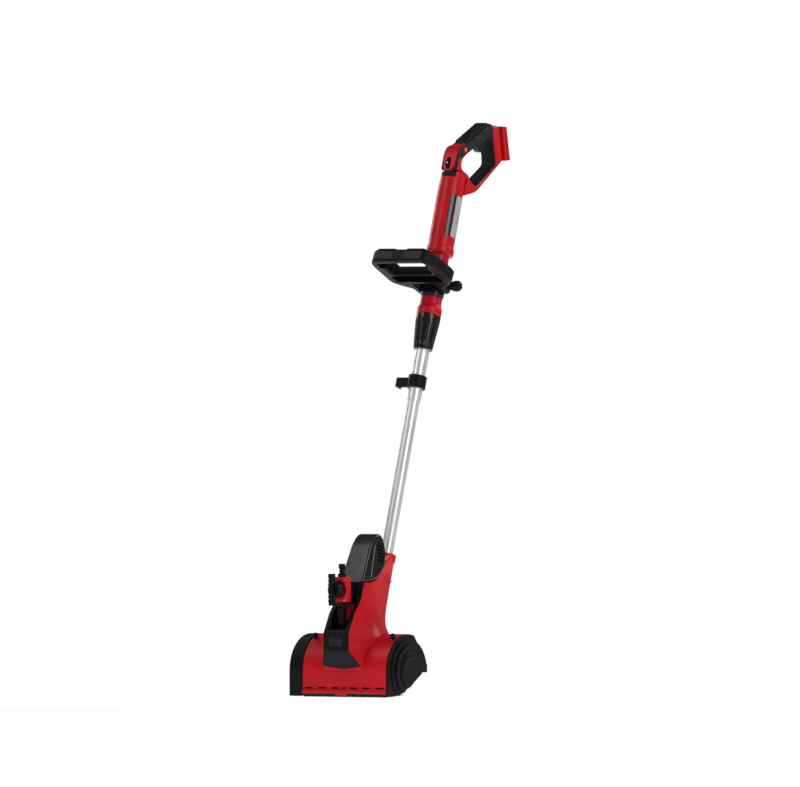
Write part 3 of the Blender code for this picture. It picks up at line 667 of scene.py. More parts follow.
def make_covers():
    """Deep left cover with its screws, stepped right cover with its cap, and the two latches."""
    near = -COWL_HALF - GAP
    left = plate("belt_cover", [head_outline(0)], COVER_LEFT_X, near, edge=5, steps=6)
    carve(left, plate("hollow", [inset(head_outline(0), 2.5)], COVER_LEFT_X + 2.5, near + 5))
    panel = cut_circle(62, CUT_REACH - 5)
    carve(left, plate("recess", [rounded(panel, 1, 2)], COVER_LEFT_X - 1, COVER_LEFT_X + 0.9))
    for k in range(5):
        z = BRUSH_R + 14 - k * 7
        groove = rectangle((-30, 30), (z - 1.2, z + 1.2), 1.1, 4)
        carve(left, plate("louvre", [groove], COVER_LEFT_X - 1, COVER_LEFT_X + 1.9))
    fit(left, "black", "cover_left", angle=30)
    outward = axis_frame((COVER_LEFT_X + 0.9, 0, BRUSH_R), (-1, 0, 0))
    heads = [screw(outward @ Matrix.Translation((53 * cos(a), 53 * sin(a), 0.45)), 3.2, 0.45)
             for a in (radians(90), radians(158), radians(22))]
    fit(merge(*heads), "steel", body="head").name = "belt_cover_screws"

    right = plate("bearing_cover", [head_outline()], COWL_HALF + GAP, 113, edge=1.8, steps=5)
    for radius, low, high in ((67, 111, 116.5), (55, 113, 121)):
        carve(right, plate("step", [circle(radius, 128, (0, BRUSH_R))], low, high, edge=1.9, steps=5),
              operation="UNION")
    carve(right, below_cut())
    carve(right, drill(12, 100, 130, BRUSH, 64))
    fit(right, "black", "cover_right", angle=30)
    face = [(0, 124.4), (26, 124.4), (28, 124.9), (35, 125), (41, 122.4), (41, 121 + GAP), (0, 121 + GAP)]
    cap = carve(turned("round_cap", face, BRUSH, 128, edge=2.2), below_cut())
    fit(cap, "black", "bearing_cap", angle=50)
    for name, x in (("latch_left", -100), ("latch_right", 100)):
        button = [(0, 18.6), (2.4, 19), (5, 17.4), (6, 15), (6, 10.5), (4, 10.5), (4, 1), (0, 1)]
        knob = turned(name + "_nub", button, latch_place(x), 48, edge=0.8,
                      shape=lambda a, r, h: r * (1 + 0.035 * cos(12 * a) * (r > 5)))
        fit(knob, "black", name)


def make_brush():
    """Nylon tufts in staggered rows on a ribbed roller; each filament is bent once on its way out."""
    random.seed(11)
    bm = bmesh.new()
    rows, pitch, filaments = 20, 8.6, 14
    roller_r = 20
    columns = int(2 * (BRUSH_HALF - 5) / pitch)
    for row in range(rows):
        for column in range(columns):
            x = -BRUSH_HALF + 6 + pitch * (column + 0.5 * (row % 2))
            around = 2 * pi * row / rows + x * 0.006
            for k in range(filaments):
                spin, spread = random.uniform(0, 2 * pi), random.uniform(0.3, 1.0)
                dx, da = cos(spin) * spread, sin(spin) * spread
                root = (x + dx * 1.6, around + da * 0.06, roller_r + 0.5)
                middle = (x + dx * 3.0, around + da * 0.085, 40)
                tip_x = max(-BRUSH_HALF + 1, min(BRUSH_HALF - 1, x + dx * random.uniform(4, 7)))
                tip = (tip_x, around + da * random.uniform(0.07, 0.13) + random.uniform(-0.03, 0.03),
                       BRUSH_R - 0.9 - random.uniform(0, 4.5))
                rings = []
                for (px, pa, pr), thick in zip((root, middle, tip), (0.62, 0.58, 0.38)):
                    centre = Vector((px, pr * sin(pa), BRUSH_R - pr * cos(pa)))
                    side = Vector((0, cos(pa), sin(pa)))
                    ring = []
                    for j in range(4):
                        turn = j * pi / 2
                        ring.append(bm.verts.new(centre + Vector((1, 0, 0)) * thick * cos(turn)
                                                 + side * thick * sin(turn)))
                    rings.append(ring)
                for low, high in zip(rings, rings[1:]):
                    for j in range(4):
                        n = (j + 1) % 4
                        bm.faces.new((low[j], low[n], high[n], high[j]))
                bm.faces.new(rings[0][::-1])
                bm.faces.new(rings[-1])
    mesh = bpy.data.meshes.new("bristle_tufts")
    bm.transform(TOOL)
    bmesh.ops.recalc_face_normals(bm, faces=bm.faces)
    bm.to_mesh(mesh)
    bm.free()
    tufts = bpy.data.objects.new("bristle_tufts", mesh)
    bpy.context.scene.collection.objects.link(tufts)
    fit(tufts, "nylon", "bristles", angle=60)
    profile = []
    ribs = 22
    step = 2 * BRUSH_HALF / ribs
    groove_r = roller_r - 0.8
    for k in range(ribs):
        x = BRUSH_HALF - 2 * BRUSH_HALF * k / ribs
        profile += [(roller_r, x), (roller_r, x - step * 0.72),
                    (groove_r, x - step * 0.78), (groove_r, x - step * 0.94)]
    profile += [(roller_r, -BRUSH_HALF), (AXLE_R + GAP, -BRUSH_HALF), (AXLE_R + GAP, BRUSH_HALF)]
    fit(turned("brush_roller", profile, BRUSH, 64, ring=True), "grey", "roller_core")


# ---------------------------------------------------------------- neck, nose, hood, water valve

FEED_PATH = [(0, -86, 192), (0, -86, 160), (0, -80, 135), (0, -66, 103), (0, -62, 97)]
TRAY_HALF = 23.0
# Side outlines are (Y, Z), and NOSE_FACE is (X, Z)
HOOD = [(-52, 247), (-32, 288), (-12, 328), (0, 342), (13, 349), (25, 349), (35, 341), (42, 322),
        (43, 303), (36, 280), (22, 262), (0, 250), (-26, 245)]
HOOD_HALF, HOOD_LOW, HOOD_HIGH, HOOD_TAPER = 30.0, 250, 349, 0.16


NOSE_FRONT = [(-52, 245.5), (-62, 214), (-72, 198), (-87, 181), (-110, 138), (-110, 101), (-80.5, 55)]
NOSE_FACE = [(-32, 250), (-32, 101), (-48.5, 67), (0, 60.5), (48.5, 67), (32, 101), (32, 250)]
NOSE_BACK = [(-57, 150), (-52, 180), (-48, 245.5)]


def make_nose():
    """Front nose and the high-sided cradle in which the water valve stands."""
    along_cowl = arc((0, BRUSH_R), COWL_R + GAP, 180, 137, 16)
    profile = NOSE_FRONT + [(-COWL_R - GAP, 55)] + along_cowl + NOSE_BACK
    nose = plate("nose_cradle", [profile], -50, 50)
    carve(nose, plate("front", [NOSE_FACE], 40, 130, FRONT), operation="INTERSECT")
    tray = [(-106, 128), (-106, 262), (-53.6, 262), (-54.6, 236), (-56.5, 185), (-59.5, 162), (-59.5, 128)]
    carve(nose, plate("tray", [rounded(tray, 4, 4)], -TRAY_HALF, TRAY_HALF))
    window = rectangle((-18, 18), (165, 199), 8, 6)
    carve(nose, plate("window", [window], 40, 75, FRONT))
    carve(nose, rod("pipe_hole", FEED_PATH, 4, rings=3, smooth_path=False))
    soften(nose, 1.3, 4, 28)
    fit(nose, "black", "nose_panel", angle=30)
    slope = axis_frame((0, -110.2, 120), (0, -1, 0))
    badge = plate("blank_badge", [rectangle((-17, 17), (-9, 9), 2.5, 5)], -0.6, 0.3,
                  slope, edge=0.25, steps=1)
    fit(badge, "gloss", body="head")
    floor_ribs = [block("rib", (x - 0.8, x + 0.8), (-100, -62), (126, 131)) for x in (-18, -9, 9, 18)]
    fit(soften(merge(*floor_ribs), 0.4, 2), "black", body="head").name = "cradle_ribs"
    inside = screw(axis_frame((-14, -59.6, 148), (0, -1, 0)), 3.0)
    fit(inside, "steel", body="head").name = "cradle_screw"


NECK_SECTIONS = [              # height, half-width and Y in front, at the shoulders, and behind
    (56, 46, -74, 54, -58, 40, 50), (68, 49.0, -86.8, 54, -60, 40, 50), (86, 40.8, -98.5, 56, -52, 40, 50),
    (101, 33, -108.5, 59, -48, 40, 50), (113, 32.6, -108.8, 62, -44, 38, 50),
    (128, 32.6, -108.8, 64, -30, 34, 52), (138, 32.6, -108.5, 58, -24, 28, 53),
    (150, 32.6, -102.2, 51.5, -21, 21, 55), (165, 32.6, -94.0, 45.5, -20, 17, 59),
    (181, 32.6, -85.2, 41, -20, 15, 64), (198, 32.6, -70.8, 38, -20, 15, 69),
    (214, 32.4, -60.8, 35, -20, 15, 74), (238, 32.2, -53.0, 33.5, -20, 15, 81),
    (262, 31, -36, 31.5, -10, 15, 89), (284, 27.5, 6, 28.5, 30, 15, 95.5), (304, 20, 60, 22, 75, 15, 101.5)]


def make_neck():
    """Red neck that flares onto the cowl, cut for the nose, hood, motor and pole."""
    rings = []
    for height, front_half, front, half, shoulder, rear_half, rear in through(NECK_SECTIONS, 5):
        right = [(front_half, front), (half, shoulder), (rear_half, rear)]
        outline = rounded(right + [(-x, y) for x, y in right[::-1]], (2.5, 24, 13, 13, 24, 2.5), 9)
        rings.append([(x, y, height) for x, y in outline])
    neck = loft("neck_shell", rings)
    lip = turned("pole_socket_lip", [(0, 258), (21, 258), (21, 243), (16, 238), (0, 238)], POLE, 64, edge=1.2)
    carve(neck, lip, operation="UNION")
    carve(neck, drill(COWL_R + GAP, -120, 120, BRUSH, 180))
    nose_face = plate("nose_face", [inset(NOSE_FACE, -GAP)], 40, 130, FRONT)
    nose_side = [(y + GAP, z) for y, z in NOSE_BACK] + [(-40, 262), (-130, 262), (-130, 40), (-56.7, 40)]
    carve(neck, carve(plate("nose_side", [nose_side], -60, 60), nose_face, operation="INTERSECT"))
    carve(neck, plate("hood_cut", [rounded(inset(HOOD, -GAP), 4, 3)], -60, 60))
    carve(neck, drill(22, 24, 215, MOTOR, 64))
    carve(neck, drill(13, -10, 25, MOTOR, 48))
    carve(neck, drill(LOWER_TUBE_R + GAP, 150, 320, POLE, 64))
    soften(neck, 0.8, 3, 34)
    fit(neck, "red", "neck_fairing", angle=32)
    for side in (-1, 1):
        place = axis_frame((side * 21.5, 70, 246), (side, 0.4, 0))
        fit(screw(place, 3.2), "steel", body="head").name = f"neck_screw_{'left' if side < 0 else 'right'}"


def taper(piece):
    """Narrow a hood piece from its foot to its top."""
    for vertex in piece.data.vertices:
        share = ((vertex.co.z - ZERO.z) / MM - HOOD_LOW) / (HOOD_HIGH - HOOD_LOW)
        vertex.co.x = ZERO.x + (vertex.co.x - ZERO.x) * (1 - HOOD_TAPER * min(1.0, max(0.0, share)))
    return piece


def make_hood():
    """Motor hood with a seam near its top, side panels, slanted vents, a thin silver strip before each side
    panel as a painted highlight along its edge, and a screw.
    """
    outline = [HOOD[0]] + rounded(HOOD, 8, 6)[6:]
    hood = plate("hood_shell", [outline], -HOOD_HALF, HOOD_HALF, edge=6.5, steps=7)
    carve(hood, plate("hollow", [inset(HOOD, WALL)], -HOOD_HALF + WALL, HOOD_HALF - WALL))
    seam = leaning((0, 0, 333), -8)
    carve(hood, carve(block("seam", (-60, 60), (-60, 60), (-0.5, 0.5), seam),
                      block("core", (-HOOD_HALF + 0.8, HOOD_HALF - 0.8), (-15.5, 41), (-2, 2), seam)))
    for side in (-1, 1):
        low, high = on_side(side, HOOD_HALF - 1.1, HOOD_HALF + 1)
        recess = [(-16, 256), (6, 260), (22, 272), (32, 290), (36.5, 306), (36, 322), (31, 330), (5, 330)]
        carve(hood, plate("side_panel", [rounded(recess, 4, 5)], low, high))
    for row in range(5):
        slot = Matrix.Translation((0, 21, 322 - row * 7.5)) @ Matrix.Rotation(radians(-15), 4, "X")
        oval = rectangle((-11, 11), (-1.7, 1.7), 1.6, 4)
        carve(hood, plate("vent", [oval], -40, 40, slot @ SIDE))
    carve(taper(hood), drill(22, 60, 200, MOTOR, 64))
    soften(hood, 0.35, 2, 35)
    fit(hood, "gloss", "motor_hood", angle=30)
    # Thin silver strips just in front of the side panels' front edges: a painted highlight along those edges.
    for side in (-1, 1):
        trim = [(-20, 257), (-18.6, 257), (2.4, 325), (1.2, 325)]
        low, high = on_side(side, HOOD_HALF - 0.5, HOOD_HALF + 0.3)
        highlight_strip = taper(plate("hood_highlight_strip", [trim], low, high, edge=0.2, steps=1))
        fit(highlight_strip, "label", body="head").name = f"hood_highlight_strip_{'left' if side < 0 else 'right'}"
    top = screw(leaning((0, 14, 348.2), 2), 3.0)
    fit(top, "steel", body="head").name = "hood_screw"


def make_valve():
    """Water valve: red body, plug spigot, collar, pipes, spray bar, and a notched lever on a knob."""
    body = plate("valve_housing", [rectangle((-16.5, 16.5), (-98, -75), 3, 6)],
                 204, 258, Matrix(), edge=1.6, steps=4)
    carve(body, drill(5, 195, 265, Matrix.Translation((0, -86, 0)), 32))
    stem = axis_frame((0, -80, 231), (0, -1, 0))
    carve(body, drill(4.3, 0, 30, stem, 32))
    fit(body, "red", "valve_body", angle=30)
    fit(turned("valve_bezel", [(19, 18.9), (19, 17.8), (15.8, 17.8), (15.8, 18.9)], stem, 64, ring=True,
               edge=0.4), "black", body="head")
    corners = [screw(axis_frame((x, -98, z), (0, -1, 0)), 2.0, 0.8)
               for x, z in ((-13, 209), (13, 209), (-13, 253), (13, 253))]
    fit(merge(*corners), "steel", body="head").name = "valve_screws"
    bracket = plate("valve_mount", [rectangle((-11, 11), (214, 244), 2, 4)], 53, 73 - GAP,
                    FRONT, edge=0.6, steps=2)
    fit(bracket, "black", "valve_bracket")

    spigot = [(4, 286), (6.2, 286), (7.2, 284), (7.2, 276.5), (5.4, 274.5), (5.4, 271.5), (6.4, 270.8),
              (6.4, 269.4), (5.4, 268.6), (5.4, 266.5), (6.4, 265), (9, 264.2), (9, 258 + GAP),
              (4, 258 + GAP)]
    upright = Matrix.Translation((0, -86, 0))
    fit(turned("plug_spigot", spigot, upright, 64, ring=True, edge=0.5), "black", "hose_spigot")
    collar = [(10, 203.4), (10, 193.4), (8.6, 193), (4, 193), (4, 203.7), (9.6, 203.7)]
    ridged = turned("knurled_collar", collar, upright, 120, ring=True,
                    shape=lambda a, r, h: r * (1 + 0.03 * cos(20 * a) * (r > 9)))
    fit(ridged, "black", "valve_collar")
    fit(rod("water_pipe", [(0, -86, 192.5)] + FEED_PATH[1:], 3.4), "black", "feed_pipe")
    coupler = [(9.2, 192), (9.2, 176), (7.4, 173), (7.4, 160), (6.4, 158), (3.8, 158), (3.8, 192)]
    nut = turned("pipe_coupler", coupler, upright, 48, ring=True, edge=0.6)
    fit(nut, "black", body="head", angle=45)
    bar = rod("spray_manifold", [(-98, -60.2, 89.5), (98, -60.2, 89.5)], 3.4)
    nozzles = [turned("nozzle", [(0, 5.4), (1, 5.4), (1.7, 2.6), (1.7, 0), (0, 0)],
                      axis_frame((x, -58, 87.6), (0, 0.75, -0.66)), 20, edge=0.2) for x in SPRAY_PLACES]
    fit(merge(bar, *nozzles), "black", "spray_bar")

    knob = turned("valve_handle", [(0, 12), (14, 12), (15, 10), (15, -8), (13, -10 + GAP), (4, -10 + GAP),
                                   (4, -24), (0, -24)], KNOB_PLACE, 96, edge=0.8)
    edge_points = []
    notches = 7
    for k in range(notches):
        u = -30 + 60 * k / notches
        edge_points += [(u, -5), (u + 4.2, -5), (u + 5.0, -3.6), (u + 7.6, -3.6)]
    top_points = [(-u, -v) for u, v in edge_points]
    grip = edge_points + [(34, -3.6), (34, 3.6)] + top_points + [(-34, 3.6), (-34, -3.6)]
    carve(knob, plate("bar", [grip], 8, 24, KNOB_PLACE, edge=0.7, steps=2), operation="UNION")
    fit(knob, "black", "valve_lever", angle=30)


# ---------------------------------------------------------------- pole


def make_pole():
    """Telescopic tubes, hose clip, fluted twist lock, handle tube and the red collar."""
    bore = LOWER_TUBE_R - TUBE_WALL
    lower = [(LOWER_TUBE_R, 640), (LOWER_TUBE_R, 151), (bore, 151), (bore, 640)]
    fit(turned("lower_pole", lower, POLE, 96, ring=True, edge=0.4), "tube", "lower_tube")
    inner = LOWER_TUBE_R + GAP
    upper = [(UPPER_TUBE_R, 1010), (UPPER_TUBE_R, 604), (inner, 604), (inner, 1010)]
    fit(turned("upper_pole", upper, POLE, 96, ring=True, edge=0.5), "tube", "upper_tube")

    around_tube = UPPER_TUBE_R + GAP
    around_handle_tube = HANDLE_TUBE_R + GAP
    clip = plate("clip_ring", [circle(20, 96), circle(around_tube, 96)], 632, 660, POLE, edge=1.4, steps=4)
    hook = rounded([(-17, -6), (-50, -6), (-54, -2), (-54, 16), (-48, 16), (-48, 4), (-17, 4)], 3, 6)
    carve(clip, plate("hook", [hook], 636, 656, POLE, edge=1.3, steps=3), operation="UNION")
    carve(clip, plate("split", [[(-1, 10), (1, 10), (1, 30), (-1, 30)]], 620, 670, POLE))
    for low, high in ((653, 662), (630, 639)):
        carve(clip, plate("hook_recess", [rectangle((-46, -24), (-4, 2), 1, 3)], low, high, POLE))
    fit(clip, "black", "hose_clip", angle=30)

    flutes = 14

    def fluted(angle, radius, height):
        if radius < 20.5 or not 727 < height < 784:
            return radius
        fade = min(1.0, (height - 727) / 8, (784 - height) / 5)
        return radius - fade * 1.9 * max(0.0, cos(flutes * angle)) ** 0.6
    side = [(21 + 5.5 * (h - 725) / 60, h) for h in range(782, 725, -4)]
    sleeve = [(26, 797), (26.5, 796), (26.5, 786), (26.1, 785)] + side + [
        (20.8, 722.5), (20, 720), (around_tube, 720), (around_tube, 732),
        (around_handle_tube, 736), (around_handle_tube, 797)]
    twist_lock = turned("twist_sleeve", sleeve, POLE, flutes * 16, ring=True, shape=fluted)
    fit(twist_lock, "gloss", "twist_lock", angle=40)
    handle = [(HANDLE_TUBE_R, 930), (HANDLE_TUBE_R, 737), (around_tube, 737), (around_tube, 930)]
    fit(turned("handle_sleeve", handle, POLE, 96, ring=True, edge=0.5), "black", "handle_tube")
    collar = [(22.4, 838), (23, 837), (23, 829), (22.5, 828.6), (22.5, 827.8), (23, 827.4), (23, 821),
              (24.4, 816.5), (26.5, 812), (26.5, 799), (25.6, 797 + GAP), (around_handle_tube, 797 + GAP),
              (around_handle_tube, 838)]
    fit(turned("red_collar", collar, POLE, 96, ring=True, edge=0.6), "red", "pole_collar", angle=50)


# ---------------------------------------------------------------- second handle

FRONT_OF_BAR = Matrix(((1, 0, 0, 0), (0, 0, 1, 0), (0, -1, 0, 0), (0, 0, 0, 1)))   # plate (u, v) = (X, -Z)


def make_second_handle():
    """Hub, tilting loop with soft pads and side webs, and the lobed clamp knob."""
    wall = [(25, 888), (25, 842), (24, 841), (24, 838 + GAP), (HANDLE_TUBE_R + GAP, 838 + GAP),
            (HANDLE_TUBE_R + GAP, 889), (24.4, 889)]
    hub = turned("handle_boss", wall, POLE, 96, ring=True, edge=0.6)
    for side in (-1, 1):
        for radius, reach in ((9, 27.1), (4, 42 if side < 0 else 60)):
            low, high = sorted((side * 21, side * reach))
            carve(hub, drill(radius, low, high, ACROSS, 48), operation="UNION")
    fit(hub, "gloss", "handle_hub")
    half = [(41, -14), (41, 16), (58, 25), (80, 46), (80, 132), (64, 153)]
    outer = rounded(half + [(-x, y) for x, y in half[::-1]], 14, 8)
    slot = [(-27.4, -30), (27.4, -30), (27.4, 43), (-27.4, 43)]
    window = rectangle((-52, 52), (84, 121), 12, 8)
    loop = plate("loop_handle", [outer, window], -15, 15, LOOP, edge=6.5, steps=6)
    carve(loop, plate("slot", [rounded(slot, 5, 5)], -30, 30, LOOP))
    carve(loop, drill(4 + GAP, -80, 80, ACROSS, 48))
    step = rectangle((-52, 52), (50, 92), 7, 6)
    carve(loop, plate("step", [step], -18, -6, LOOP))
    channel = rectangle((-62, 62), (116, 140), 8, 6)
    carve(loop, plate("channel", [channel], -7, 18, LOOP))
    relief = rectangle((-60, 60), (50, 79), 6, 5)
    carve(loop, plate("relief", [relief], 0, 16, LOOP))
    soften(loop, 0.5, 2, 40)
    fit(loop, "black", "second_handle", angle=30)
    for side, name in ((-1, "left"), (1, "right")):
        low, high = on_side(side, 12, 62)
        pad = rectangle((low, high), (126, 149), 8, 8)
        grip = plate("loop_pad_" + name, [pad], -17, -15 - GAP, LOOP, edge=0.8, steps=4)
        dents = []
        for k in range(6):
            u = low + 9 + 6.4 * k
            dash = rectangle((u - 0.8, u + 0.8), (131, 144), 0.7, 4)
            dents.append(plate("dash", [dash], -18, -16.5, LOOP))
        carve(grip, *dents)
        face = rectangle((low + 2, high - 4), (-9, 9), 4, 6)
        front = plate("pad_face", [face], 152.4, 153.3, LOOP @ FRONT_OF_BAR, edge=0.4, steps=3)
        fit(merge(grip, front), "pad", "soft_pad_" + name, angle=40)
        low, high = on_side(side, 27.3, 26.2)
        cheek = plate("loop_web_" + name, [rectangle((13, 40), (-11, 11), 3, 4)], low, high,
                      LOOP @ SIDE, edge=0.4, steps=2)
        fit(cheek, "grey", body="second_handle")

    def lobed(angle, radius, height):
        return radius - (1.5 * max(0.0, cos(7 * angle)) ** 0.7 if radius > 8.8 and height > 48 else 0)
    knob = [(0, 68.4), (6, 69), (9.5, 68), (11.4, 64), (12, 58), (11.2, 52), (9.6, 48.5), (9, 46), (9, 41.5),
            (4 + GAP, 41.5), (4 + GAP, 61), (0, 61)]
    fit(turned("lobed_knob", knob, ACROSS, 112, shape=lobed, edge=0.4), "black", "clamp_knob", angle=45)


# ---------------------------------------------------------------- main handle

NECK_TOP = 1106
SHELL_HALF = 19.0
# The ring handle's outlines, as (Y, Z)
RING = [(319.5, 1134), (330, 1168), (341, 1184), (368, 1191), (458, 1236), (470, 1232), (497, 1230),
        (508, 1155), (495, 1146), (408, 1087.5), (398, 1084), (357.8, 1077), (370.6, 1113.5),
        (366, 1119.5)]
OPENING = [(347, 1139), (353, 1158), (366, 1166), (425, 1194), (462, 1207), (472, 1196), (478, 1152),
           (474, 1144.5), (402, 1101), (394, 1103)]
TRIGGER = [(423, 1186), (431, 1174), (446, 1172), (457, 1181), (461, 1190), (457, 1200), (426, 1197)]


def make_handle_neck():
    """Round red lower part with its seams and blank labels, the dark band, and the bridge round it."""

    def seamed(angle, radius, height):
        """A fine groove down the front and the back, and one across the front left."""
        seam = abs(sin(angle)) > 0.9997 and radius > 26
        step = 1003 < height < 1004.5 and cos(angle) < -0.05 and sin(angle) < 0.4 and radius > 26
        return radius - (0.55 if seam or step else 0)
    outside = [(26.5, NECK_TOP), (26.8, 1100), (27.5, 1088), (28, 1074), (28, 1040), (28, 1005), (28, 1004),
               (28, 1003.4), (28, 1002), (28, 980), (28, 954), (29.2, 950), (30, 946.5), (30, 938),
               (29.2, 935.4), (27, 934), (22.6, 934), (22, 932.5), (22, 889 + GAP)]
    bore = HANDLE_TUBE_R + GAP
    inside = [(bore, 889 + GAP), (bore, 931), (25, 936), (25, 1075), (23.5, NECK_TOP)]
    neck = turned("handle_lower", outside + inside, POLE, 240, ring=True, shape=seamed)
    fit(neck, "red", "handle_neck", angle=40)
    band = [(25.6, 1118), (25.6, NECK_TOP + GAP), (20, NECK_TOP + GAP), (20, 1118)]
    fit(turned("dark_band", band, POLE, 96, ring=True, edge=0.8), "soft", "handle_band")
    hoop = [(27, 1119.2), (27, 1104.5), (25.9, 1104.5), (25.9, 1119.2)]
    bridge = turned("ring_bridge", hoop, POLE, 96, ring=True)
    carve(bridge, block("front_gap", (-40, 40), (-40, -17), (1100, 1125), POLE),
          block("left_gap", (-40, 0), (-40, -6), (1100, 1125), POLE))
    fit(bridge, "red", body="handle", angle=50)
    for name, look, start, end in (("label_strip_dark", "gloss", -52, -22),
                                   ("label_strip_silver", "label", -21, 30)):
        fit(curved_label(name, 28.05, 28.4, start, end, 974, 1066), look, body="handle", angle=60)


def curved_label(name, inner, outer, start, end, low, high, count=24):
    """A thin patch wrapped on the round neck, between two angles and two heights."""
    corner = 4.0
    rings = []
    for i in range(count + 1):
        angle = radians(start + (end - start) * i / count)
        arc_left = min(i, count - i) / count * radians(end - start) * outer
        cut = max(0.0, corner - arc_left)
        trim = corner - (corner ** 2 - cut ** 2) ** 0.5 if cut < corner else corner
        corners = ((inner, low + trim), (outer, low + trim), (outer, high - trim), (inner, high - trim))
        rings.append([(radius * cos(angle), radius * sin(angle), height) for radius, height in corners])
    return loft(name, rings, POLE)


def trigger_slot():
    """The cutter for the slot in which the trigger hangs."""
    return block("trigger_slot", (-7.8, 7.8), (419, 464.5), (1160, 1210))


def handle_ring():
    """The whole ring handle, rounded at both sides, with its slots and its button hole."""
    ring = plate("handle_ring", ring_outlines(), -SHELL_HALF, SHELL_HALF, edge=5.5, steps=6)
    carve(ring, trigger_slot())
    carve(ring, block("module_pocket", (-9.5, 9.5), (427, 453), (1200, 1214)))
    carve(ring, drill(5 + GAP, -30, 30, BUTTON_AXIS, 48))
    carve(ring, block("switch_slot", (-4.4, 4.4), (-8, 8), (-13, 13), SWITCH))
    return ring


def make_shells():
    """The ring split into its two halves."""
    for side, name in ((-1, "left"), (1, "right")):
        half = handle_ring()
        low, high = sorted((side * 0.15, -side * 40))
        carve(half, block("other_half", (low, high), (250, 600), (1000, 1300)))
        half.name = "ring_half_" + name
        fit(half, "red", "handle_shell_" + name, angle=32)


SKIN = 0.6
OVERMOULD = [                  # the skin's border on the ring, as (Y, Z)
    (318, 1122), (320, 1136), (330.5, 1165), (340, 1180), (352, 1186), (367, 1189), (369, 1202), (458, 1250),
    (464, 1248), (470, 1208), (480, 1153), (477, 1143), (402.5, 1098), (395, 1099), (404, 1118),
    (362, 1152), (347, 1161), (334, 1156), (326, 1132), (323, 1118)]


def ring_outlines(grown=0.0):
    """The ring's outer outline and its finger opening, with the wall between them grown both ways."""
    return [rounded(inset(RING, -grown), 7, 6), rounded(inset(OPENING, grown), 7, 6)]


def make_soft_grip():
    """Soft skin over the ring's bars and round the finger opening, and a grooved saddle on the top bar."""
    skin = plate("grip_overmould", ring_outlines(SKIN), -SHELL_HALF - SKIN, SHELL_HALF + SKIN,
                 edge=5.5 + SKIN, steps=6)
    carve(skin, plate("border", [rounded(OVERMOULD, 2.5, 4)], -40, 40), operation="INTERSECT")
    carve(skin, plate("ring", ring_outlines(), -SHELL_HALF, SHELL_HALF, edge=5.5, steps=6))
    carve(skin, trigger_slot())
    carve(skin, block("front_clear", (-12.5, 12.5), (300, 344), (1100, 1192)))
    carve(skin, drill(7.0, -30, 30, BUTTON_AXIS, 48))
    fit(skin, "soft", body="handle", angle=32)
    top = Vector((458 - 368, 1236 - 1191)).normalized()
    up = Vector((-top.y, top.x))
    ends = [Vector((372, 1193)), Vector((455, 1234.5))]
    strip = [ends[0] + up * GAP, ends[1] + up * GAP,
             ends[1] + up * 4.5 - top * 3, ends[0] + up * 4.5 + top * 3]
    saddle = plate("grip_saddle", [[tuple(p) for p in strip]], -15, 15, edge=1.5, steps=5)
    length = (ends[1] - ends[0]).length
    along = Matrix(((0, 1, 0, 0), (top.x, 0, up.x, ends[0].x), (top.y, 0, up.y, ends[0].y), (0, 0, 0, 1)))
    for k in range(9):
        s = 14 + (length - 28) * k / 8
        dash = rectangle((s - 0.8, s + 0.8), (-9, 9), 0.7, 4)
        carve(saddle, plate("groove", [dash], 3.9, 6, along))
    fit(saddle, "soft", "soft_grip", angle=32)


def make_controls():
    """Trigger, lock button, speed switch with its bezel, and the switch module inside."""
    trigger = plate("finger_trigger", [rounded(TRIGGER, 5, 7)], -7, 7, edge=2.2, steps=5)
    fit(trigger, "gloss", "trigger", angle=40)
    module = block("switch_block", (-9, 9), (428, 452), (1204, 1213))
    fit(soften(module, 0.8, 3), "grey", "switch_module")
    dome = [(0, 22), (3.2, 21.8), (4.7, 20.8), (5, 19), (5, -19), (4.7, -20.8), (3.2, -21.8), (0, -22)]
    fit(turned("lock_pin", dome, BUTTON_AXIS, 64, edge=0.4), "orange", "lock_button", angle=50)
    slider = plate("speed_slider", [rectangle((-4, 4), (-8, 8), 1.2, 4)], -2, 6, SWITCH @ FRONT,
                   edge=0.6, steps=3)
    grooves = [block("groove", (-5, 5), (-7, -5.4), (z - 0.35, z + 0.35), SWITCH)
               for z in (-5.5, -3.5, 3.5, 5.5)]
    fit(carve(slider, *grooves), "black", "speed_switch")
    dot = plate("speed_mark", [rectangle((-1.2, 1.2), (-1.6, 1.6), 0.6, 4)], 5.9, 6.25,
                SWITCH @ FRONT)
    fit(dot, "label", body="speed_switch")
    outline = rectangle((-11, 11), (-19.5, 14), 3, 5)
    hole = rectangle((-5, 5), (-16.3, 10.6), 1.5, 4)
    bezel = plate("speed_bezel", [outline, hole], -2.5, 1.4, cap_face() @ FRONT, edge=0.5, steps=3)
    fit(bezel, "red", body="handle")


def cap_face():
    """A frame on the cap's flat front, between the ring's first two corners."""
    first, second = Vector(RING[0]), Vector(RING[1])
    middle = (first + second) / 2
    lean = degrees(atan2(second.x - first.x, second.y - first.y))
    return leaning((0, middle.x, middle.y), lean)


